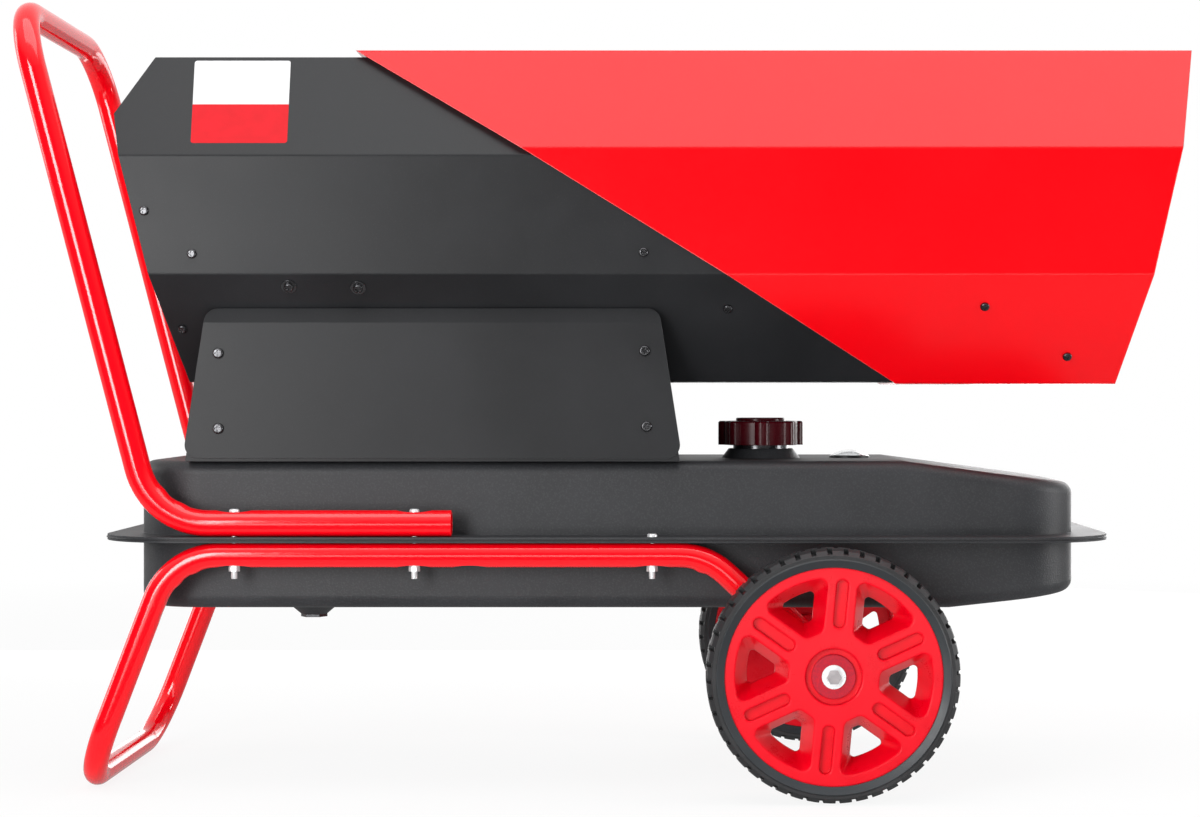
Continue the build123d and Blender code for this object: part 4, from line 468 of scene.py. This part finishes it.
def plastic_finishes():
    """Plastics, rubbers and the other mouldings, by slot."""
    # painted shade: the cap's red is darkened to near black
    cap = moulded("shaded cap plastic", SHADED_CAP_RED, 0.26, grain_size=0.001, gloss=0.2, edge=0.0012)
    black = moulded(
        "black plastic", (0.016, 0.016, 0.017), 0.42, grain_size=0.0008, depth=0.00002
    )
    ceramic = moulded(
        "glazed ceramic", (0.80, 0.78, 0.73), 0.16, grain_size=0.002, depth=0.000004
    )
    return {
        "rim_red": rim_plastic("rim plastic"),
        "tyre_rubber": tyre_rubber("tyre rubber"),
        "cap_red": cap,
        "clear": clear_dome("clear dome"),
        "black_plastic": black,
        "hose_rubber": moulded("hose rubber", (0.014, 0.014, 0.015), 0.5, grain_size=0.0007),
        "ceramic": ceramic,
        "board_green": circuit_board("board lacquer"),
        "needle_red": moulded("needle paint", (0.78, 0.02, 0.01)),
        "white_plastic": moulded("white plastic", (0.80, 0.80, 0.76)),
    }


FINISHES = {**metal_finishes(), **plastic_finishes()}
OWN_FINISHES = {"axle_bolts": "dull_zinc", "filler_neck": "black_screw"}


def finish_nodes():
    """Gives every carried-over node the finish of its slot."""
    slots = {part["node"]: part["material_slot"] for part in frame["record"]["subparts"]}
    for name, node in frame["nodes"].items():
        finish = FINISHES[OWN_FINISHES.get(name, slots[name])]
        if not node.data.materials:
            node.data.materials.append(finish)
        for index in range(len(node.material_slots)):
            node.material_slots[index].material = finish


finish_nodes()

# ------------------------------------------------------------------ making of pieces


def add_piece(name, points, faces, finish, slot, body="heater", smooth=True):
    """A mesh piece that rides on a body and takes the finish it is given."""
    mesh = bpy.data.meshes.new(name)
    mesh.from_pydata(points, [], faces)
    mesh.materials.append(finish)
    mesh.polygons.foreach_set("use_smooth", [smooth] * len(mesh.polygons))
    mesh.update()
    piece = bpy.data.objects.new(name, mesh)
    bpy.context.scene.collection.objects.link(piece)
    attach(piece, body)
    return piece


def join(parts):
    """Several (points, faces) pairs as one."""
    points, faces = [], []
    for more_points, more_faces in parts:
        base = len(points)
        points += more_points
        faces += [tuple(index + base for index in face) for face in more_faces]
    return points, faces


def rod(stations, radius, sides, closed=False):
    """A rod through stations, each a point with two directions square to the run.

    radius(step, turn) is the distance from the point at an angle from the first direction.
    """
    points = []
    for step, (point, first, second) in enumerate(stations):
        for side in range(sides):
            turn = TAU * side / sides
            away = first * math.cos(turn) + second * math.sin(turn)
            points.append(point + away * radius(step, turn))
    rings = len(stations)
    faces = []
    for step in range(rings if closed else rings - 1):
        here, there = step * sides, (step + 1) % rings * sides
        for side in range(sides):
            beside = (side + 1) % sides
            faces.append((here + side, here + beside, there + beside, there + side))
    if not closed:
        faces.append(tuple(reversed(range(sides))))
        faces.append(tuple(range((rings - 1) * sides, rings * sides)))
    return points, faces


def slab(outline, lift):
    """A flat outline of points, raised by a vector into a thin closed plate."""
    count = len(outline)
    points = list(outline) + [point + lift for point in outline]
    faces = [tuple(reversed(range(count))), tuple(range(count, 2 * count))]
    for index in range(count):
        beside = (index + 1) % count
        faces.append((index, beside, count + beside, count + index))
    return points, faces


def corner_arc(before, corner, after, radius, steps):
    """The centre of the arc that rounds a corner, and unit spokes from it out to the arc."""
    back, on = (before - corner).normalized(), (after - corner).normalized()
    half = back.angle(on) / 2
    centre = corner + (back + on).normalized() * radius / math.sin(half)
    start = corner + back * radius / math.tan(half) - centre
    end = corner + on * radius / math.tan(half) - centre
    return centre, [start.slerp(end, step / steps) for step in range(steps + 1)]


def rounded_outline(corners, radius, steps):
    """The outline through corners, each rounded to a radius."""
    outline = []
    for index, corner in enumerate(corners):
        after = corners[(index + 1) % len(corners)]
        centre, spokes = corner_arc(corners[index - 1], corner, after, radius, steps)
        outline += [centre + spoke * radius for spoke in spokes]
    return outline


def bend_stations(before, corner, after, radius):
    """Stations along the arc that rounds a corner, with the inward direction first."""
    centre, spokes = corner_arc(before, corner, after, radius, BEND_STEPS)
    side = spokes[0].cross(spokes[-1]).normalized()
    return [(centre + spoke * radius, -spoke, side) for spoke in spokes]


# ------------------------------------------------------------------- tubes and bolts

SIDE_TUBE_Y = 180.0 * MM  # middle lines of the side tubes
RAIL_R = 12.5 * MM
HANDLE_R = 13.5 * MM
AXLE_TUBE_R = 11.4 * MM
FRAME_LINE = (
    (228.0, 127.0),
    (102.0, 244.0),
    (-444.0, 244.0),
    (-532.0, 12.5),
)  # X and Z of the lower frame's corners, from the axle to the foot bar
FRAME_BEND_R = 70.0 * MM
FOOT_BEND_R = 65.0 * MM
HANDLE_LINE = (
    (-158.0, 276.4),
    (-464.0, 276.4),
    (-602.0, 804.5),
)  # X and Z of the push handle's corners, from its front end to its bar
HANDLE_BEND_R = 75.0 * MM
HANDLE_TOP_BEND_R = 65.0 * MM
BEND_STEPS = 40
CRUMPLE_H = 1.5 * MM
CRUMPLE_SINK = 0.25 * MM  # how far the rest of a crumple's sleeve lies inside the tube
CRUMPLE_REACH = 0.6  # how far the folds spread round the tube
CRUMPLE_SIDES = 48
WELD_R = 2.3 * MM
WELD_RIPPLES = 30
WELD_RIPPLE_SHARE = 0.16
WELD_STEPS = 120
WELD_SIDES = 12
WELD_LEAST_REACH = 0.45  # of the axle tube's radius, at the joint's sides
THREAD_PITCH = 1.0 * MM
THREAD_R = 3.03 * MM  # at the bottom of the thread, just outside the shank
THREAD_DEPTH = 0.28 * MM
THREAD_END = 7.5 * MM  # what shows of a bolt below its nut
THREAD_STEPS = 36
THREAD_SIDES = 24
BOLT_ENDS_X = (-380.0, -196.0, 47.0)
SEAM_Z = 259.7 * MM
SEAM_R = 1.0 * MM
SEAM_SIDES = 10
FLANGE_CORNER_R = 92.0 * MM
FLANGE_CORNER_STEPS = 24


def side_point(x, z, side):
    """A point of a side tube's middle line, from millimetres of X and Z."""
    return Vector((x * MM, side * SIDE_TUBE_Y, z * MM))


def crumple(stations, tube_r, ridges):
    """Folds pressed into the inner side of a bend, as a sleeve that rises from the tube."""
    steps = len(stations) - 1

    def radius(step, turn):
        share = step / steps
        aside = turn if turn <= math.pi else TAU - turn
        run = math.sin(math.pi * share) ** 2
        round_tube = max(0.0, math.cos(aside / CRUMPLE_REACH)) if aside < math.pi else 0.0
        wave = 0.5 + 0.5 * math.cos(TAU * ridges * share)
        rise = run * round_tube**1.5 * wave
        return tube_r - CRUMPLE_SINK + (CRUMPLE_H + CRUMPLE_SINK) * rise

    return rod(stations, radius, CRUMPLE_SIDES)


def bent_tube(line, index, radius, side):
    """Stations round one corner of a side tube's middle line."""
    corners = [side_point(*line[at], side) for at in (index - 1, index, index + 1)]
    return bend_stations(*corners, radius)


def top_bend(line, radius, side):
    """Stations round the corner where a side tube turns into its cross bar."""
    corner = side_point(*line[-1], side)
    middle_of_bar = Vector((corner.x, 0.0, corner.z))
    return bend_stations(side_point(*line[-2], side), corner, middle_of_bar, radius)


def add_crumples():
    """The small folds that bending left on the inner side of the tubes' corners."""
    for side, mark in zip(SIDES, ("near", "far")):
        bends = (
            ("frame_rear", bent_tube(FRAME_LINE, 2, FRAME_BEND_R, side), RAIL_R, 3),
            ("frame_front", bent_tube(FRAME_LINE, 1, FRAME_BEND_R, side), RAIL_R, 2),
            ("foot", top_bend(FRAME_LINE, FOOT_BEND_R, side), RAIL_R, 2),
            ("handle_low", bent_tube(HANDLE_LINE, 1, HANDLE_BEND_R, side), HANDLE_R, 3),
            ("handle_top", top_bend(HANDLE_LINE, HANDLE_TOP_BEND_R, side), HANDLE_R, 3),
        )
        for place, stations, tube_r, ridges in bends:
            folds = crumple(stations, tube_r, ridges)
            name = f"crumple_{place}_{mark}"
            add_piece(name, *folds, FINISHES["frame_red"], "frame_red")


def add_threads():
    """The threaded ends of the frame's bolts, below their nuts."""
    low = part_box("frame_bolts")[0].z

    def radius(step, turn):
        share = step / THREAD_STEPS
        wave = 0.5 + 0.5 * math.cos(TAU * share * THREAD_END / THREAD_PITCH - turn)
        taper = min(1.0, 4 * share)
        return THREAD_R + THREAD_DEPTH * wave * taper

    threads = []
    for x in BOLT_ENDS_X:
        for side in SIDES:
            foot = side_point(x, 0, side) + UP * low
            stations = [
                (foot + UP * (THREAD_END * step / THREAD_STEPS), AHEAD, ASIDE)
                for step in range(THREAD_STEPS + 1)
            ]
            threads.append(rod(stations, radius, THREAD_SIDES))
    add_piece("bolt_threads", *join(threads), FINISHES["zinc"], "zinc")


def add_weld_beads():
    """The rippled weld round each joint of a side tube and the axle's tube."""

    def radius(step, turn):
        ripple = math.cos(TAU * WELD_RIPPLES * step / WELD_STEPS)
        return WELD_R * (1.0 + WELD_RIPPLE_SHARE * ripple)

    least = (AXLE_TUBE_R * WELD_LEAST_REACH) ** 2
    beads = []
    for side in SIDES:
        end, corner = side_point(*FRAME_LINE[0], side), side_point(*FRAME_LINE[1], side)
        run = (corner - end).normalized()
        lift = run.cross(ASIDE)
        stations = []
        for step in range(WELD_STEPS):
            turn = TAU * step / WELD_STEPS
            reach = AXLE_TUBE_R**2 - (RAIL_R * math.cos(turn)) ** 2
            out = run * math.sqrt(max(least, reach))
            spoke = lift * math.cos(turn) + ASIDE * math.sin(turn)
            stations.append((end + out + spoke * RAIL_R, spoke, run))
        beads.append(rod(stations, radius, WELD_SIDES, closed=True))
    add_piece("weld_beads", *join(beads), FINISHES["frame_red"], "frame_red")


def add_flange_seam():
    """The folded seam round the tank's flange, where its two halves meet."""
    low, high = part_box("tank_upper_shell")
    corners = [
        Vector((low.x, low.y, SEAM_Z)),
        Vector((high.x, low.y, SEAM_Z)),
        Vector((high.x, high.y, SEAM_Z)),
        Vector((low.x, high.y, SEAM_Z)),
    ]
    outline = rounded_outline(corners, FLANGE_CORNER_R, FLANGE_CORNER_STEPS)
    stations = []
    for index, point in enumerate(outline):
        ahead = outline[(index + 1) % len(outline)] - outline[index - 1]
        stations.append((point, UP.cross(ahead).normalized(), UP))
    seam = rod(stations, lambda step, turn: SEAM_R, SEAM_SIDES, closed=True)
    add_piece("flange_seam", *seam, FINISHES["seam_black"], "tank_black")


add_crumples()
add_threads()
add_weld_beads()
add_flange_seam()

# ------------------------------------------------------------ sticker and dial marks

SLOPE_TOP = Vector((0, -97.0, 764.0)) * MM  # upper near slope of the black casing
SLOPE_FOOT = Vector((0, -177.0, 653.0)) * MM
STICKER_CORNERS = (
    (-435.0, 0.04),
    (-334.0, 0.04),
    (-328.0, 0.88),
    (-427.0, 0.88),
)  # X, and how far down the slope as a share of it
STICKER_CORNER_R = 3.0 * MM
STICKER_CORNER_STEPS = 5
STICKER_T = 0.12 * MM
STICKER_SPLIT_Z = 709.6 * MM

KNOB = Vector((-262.0, 158.2, 412.0)) * MM  # on the panel's face
KNOB_R = 20.0 * MM
SWITCH = Vector((-205.0, 158.2, 412.0)) * MM
DIAL_STEPS = 10
DIAL_SWEEP = math.radians(270)
PRINT_T = 0.12 * MM
TICK_GAP = 4.0 * MM
SHORTEST_TICK = 1.0 * MM  # half its length
TICK_GROWTH = 0.2 * MM
LINE_HALF_W = 0.45 * MM
KNOB_LINE_HALF_W = 0.7 * MM
KNOB_LINE_HALF = 7.6 * MM
KNOB_LINE_RISE = 10.0 * MM
SWITCH_MARK_RISE = 20.0 * MM
SWITCH_MARK_R = 2.6 * MM
RING_STEPS = 32
RING_SIDES = 8


def add_sticker():
    """The blank two-tone sticker on the casing's near slope."""
    run = SLOPE_FOOT - SLOPE_TOP
    out = Vector((0, run.z, -run.y)).normalized()
    corners = [SLOPE_TOP + AHEAD * x * MM + run * share for x, share in STICKER_CORNERS]
    film = two_tone_film("two-tone film", STICKER_SPLIT_Z)
    outline = rounded_outline(corners, STICKER_CORNER_R, STICKER_CORNER_STEPS)
    plate = slab(outline, out * STICKER_T)
    add_piece("blank_sticker", *plate, film, "white_plastic", smooth=False)


def bar(centre, along, across):
    """A small flat printed bar on the panel, from its middle and its half sizes."""
    corners = [
        centre + along + across,
        centre - along + across,
        centre - along - across,
        centre + along - across,
    ]
    return slab(corners, ASIDE * PRINT_T)


def ring(centre, radius):
    """A small printed ring on the panel."""
    stations = []
    for step in range(RING_STEPS):
        turn = TAU * step / RING_STEPS
        spoke = UP * math.cos(turn) + AHEAD * math.sin(turn)
        stations.append((centre + spoke * radius, spoke, ASIDE))
    return rod(stations, lambda step, turn: LINE_HALF_W, RING_SIDES, closed=True)


def dial_ticks():
    """Ticks round the dial, longer as the knob turns up."""
    ticks = []
    for step in range(DIAL_STEPS + 1):
        spoke = Matrix.Rotation(DIAL_SWEEP * step / DIAL_STEPS, 3, "Y") @ UP
        half = SHORTEST_TICK + TICK_GROWTH * step
        centre = KNOB + spoke * (KNOB_R + TICK_GAP + half)
        ticks.append(bar(centre, spoke * half, spoke.cross(ASIDE) * LINE_HALF_W))
    return ticks


def add_dial_marks():
    """What is printed on the panel, and the white line on the knob's rib."""
    rise = UP * SWITCH_MARK_RISE
    on = bar(SWITCH + rise, UP * SWITCH_MARK_R, AHEAD * LINE_HALF_W)
    off = ring(SWITCH - rise, SWITCH_MARK_R)
    paint = FINISHES["white_plastic"]
    marks = join([*dial_ticks(), on, off])
    add_piece("dial_marks", *marks, paint, "white_plastic", smooth=False)
    rib_top = Vector((KNOB.x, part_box("thermostat_knob")[1].y, KNOB.z + KNOB_LINE_RISE))
    line = bar(rib_top, UP * KNOB_LINE_HALF, AHEAD * KNOB_LINE_HALF_W)
    add_piece("knob_line", *line, paint, "white_plastic", "knob", False)


add_sticker()
add_dial_marks()

# ----------------------------------------------------------------- camera and stage

IMAGE_W = 1200.0
IMAGE_H = 817.0
SENSOR_W = 36.0
FOCAL_PX = 2515.0
CAMERA_PLACE = (0.055, -2.75, 0.4106)
EYE_PX = (660.0, 392.0)  # the photograph's point straight ahead of the lens

SWEEP_EDGE_Y = -0.43  # near edge of the white paper that runs under and behind the heater
DIM_WORLD = 0.38  # what lights the heater from all round
DARK_WORLD = 0.06  # what shiny paint mirrors on the camera's side, away from the paper
MIRRORED_PAPER = 0.45  # the floor's paper, shaded by the heater, as shiny paint mirrors it
FLOOR_HALF = 14.0
FLOOR_TONE = (0.86, 0.86, 0.86)
SHADOW_REACH = (1.2, 3.0)  # from the heater's middle, where the floor's shadow starts to fade
NEAR_SHARE = 0.88  # how much of the near floor is plain white to the camera


def add_camera():
    """The photograph's level side view, framed by a small lens shift."""
    data = bpy.data.cameras.new("view")
    data.sensor_width = SENSOR_W
    data.lens = FOCAL_PX / IMAGE_W * SENSOR_W
    data.shift_x = (IMAGE_W / 2 - EYE_PX[0]) / IMAGE_W
    data.shift_y = (EYE_PX[1] - IMAGE_H / 2) / IMAGE_W
    camera = bpy.data.objects.new("view", data)
    camera.location = CAMERA_PLACE
    camera.rotation_euler = (math.radians(90), 0, 0)
    bpy.context.scene.collection.objects.link(camera)
    bpy.context.scene.camera = camera


def add_lamp(name, place, target, size, power):
    """A soft rectangular lamp at a place, facing a target, that no camera sees."""
    data = bpy.data.lights.new(name, "AREA")
    data.shape = "RECTANGLE"
    data.size, data.size_y = size
    data.energy = power
    lamp = bpy.data.objects.new(name, data)
    lamp.location = place
    facing = Vector(target) - Vector(place)
    lamp.rotation_euler = facing.to_track_quat("-Z", "Y").to_euler()
    lamp.visible_camera = False
    bpy.context.scene.collection.objects.link(lamp)


def add_lights():
    """Soft boxes round the heater, and a bright line along the floor on either side."""
    body = (0.0, 0.0, 0.45)
    add_lamp("overhead", (0.1, -0.5, 2.3), body, (2.6, 1.4), 27.0)
    add_lamp("camera left", (-1.15, -2.3, 0.75), body, (0.8, 1.1), 40.0)
    add_lamp("far right", (1.3, 2.2, 0.7), body, (1.4, 1.4), 25.0)
    add_lamp("outlet end", (2.2, -0.3, 0.55), (0.2, 0.0, 0.36), (0.5, 0.7), 18.0)
    add_lamp("handle end", (-2.6, 0.6, 1.0), body, (0.8, 1.2), 10.0)
    for side in SIDES:
        place, target = (0.0, side * 1.25, 0.14), (0.0, 0.0, 0.14)
        add_lamp("paper's edge", place, target, (2.2, 0.24), 4.5)


class Stage(Shading):
    """Shader nodes of a floor or a world, built up from plain sources of light."""

    def source(self, kind, strength):
        """A plain light, or a plain surround, of a strength."""
        return self.node(kind, None, {"Strength": strength})

    def mixed(self, share, first, second):
        """One shader giving way to another as share goes from 0 to 1."""
        return self.node("ShaderNodeMixShader", None, {0: share, 1: first, 2: second})


def add_floor():
    """A plain pale floor that keeps the heater's shadow; mirrors find it dark near the camera."""
    mesh = bpy.data.meshes.new("floor")
    corners = [
        (across * FLOOR_HALF, ahead * FLOOR_HALF, 0)
        for across, ahead in ((-1, -1), (1, -1), (1, 1), (-1, 1))
    ]
    mesh.from_pydata(corners, [], [(0, 1, 2, 3)])
    floor = bpy.data.objects.new("floor", mesh)
    bpy.context.scene.collection.objects.link(floor)
    material = bpy.data.materials.new("pale floor")
    material.use_nodes = True
    stage = Stage(material.node_tree)
    paint = {"Base Color": FLOOR_TONE, "Roughness": 0.9}
    lit = stage.node("ShaderNodeBsdfPrincipled", None, paint)
    seen, mirrored = stage.rays()
    x, y = stage.along("X"), stage.along("Y")
    away = (x * x + y * y) ** 0.5
    mirrored = mirrored * (1.0 - seen)
    share = seen * stage.between(away, *SHADOW_REACH, NEAR_SHARE, 1.0) + mirrored
    white = stage.source("ShaderNodeEmission", 1.0)
    paper = stage.source("ShaderNodeEmission", MIRRORED_PAPER)
    dark = stage.source("ShaderNodeEmission", DARK_WORLD)
    in_mirrors = stage.mixed(y < SWEEP_EDGE_Y, paper, dark)
    shown = stage.mixed(share, lit, stage.mixed(mirrored, white, in_mirrors))
    stage.feed(stage.tree.nodes["Material Output"].inputs["Surface"], shown)
    mesh.materials.append(material)


def add_world():
    """A dim surround, white to the camera; mirrors find it white behind the heater and above."""
    world = bpy.data.worlds.new("studio")
    bpy.context.scene.world = world
    world.use_nodes = True
    stage = Stage(world.node_tree)
    seen, mirrored = stage.rays()
    behind = stage.between(stage.along("Y", "Generated"), 0.0, 0.5)
    above = stage.between(stage.along("Z", "Generated"), 0.25, 0.75)
    paper = stage.between(behind + above, 0.0, 1.0)
    dim = stage.source("ShaderNodeBackground", DIM_WORLD)
    dark = stage.source("ShaderNodeBackground", DARK_WORLD)
    white = stage.source("ShaderNodeBackground", 1.0)
    for background in (dim, dark, white):
        stage.feed(background.socket.node.inputs["Color"], WHITE)
    around = stage.mixed(mirrored, dim, stage.mixed(paper, dark, white))
    shown = stage.mixed(seen, around, white)
    stage.feed(stage.tree.nodes["World Output"].inputs["Surface"], shown)


add_camera()
add_lights()
add_floor()
add_world()
bpy.context.scene.view_settings.view_transform = "Standard"
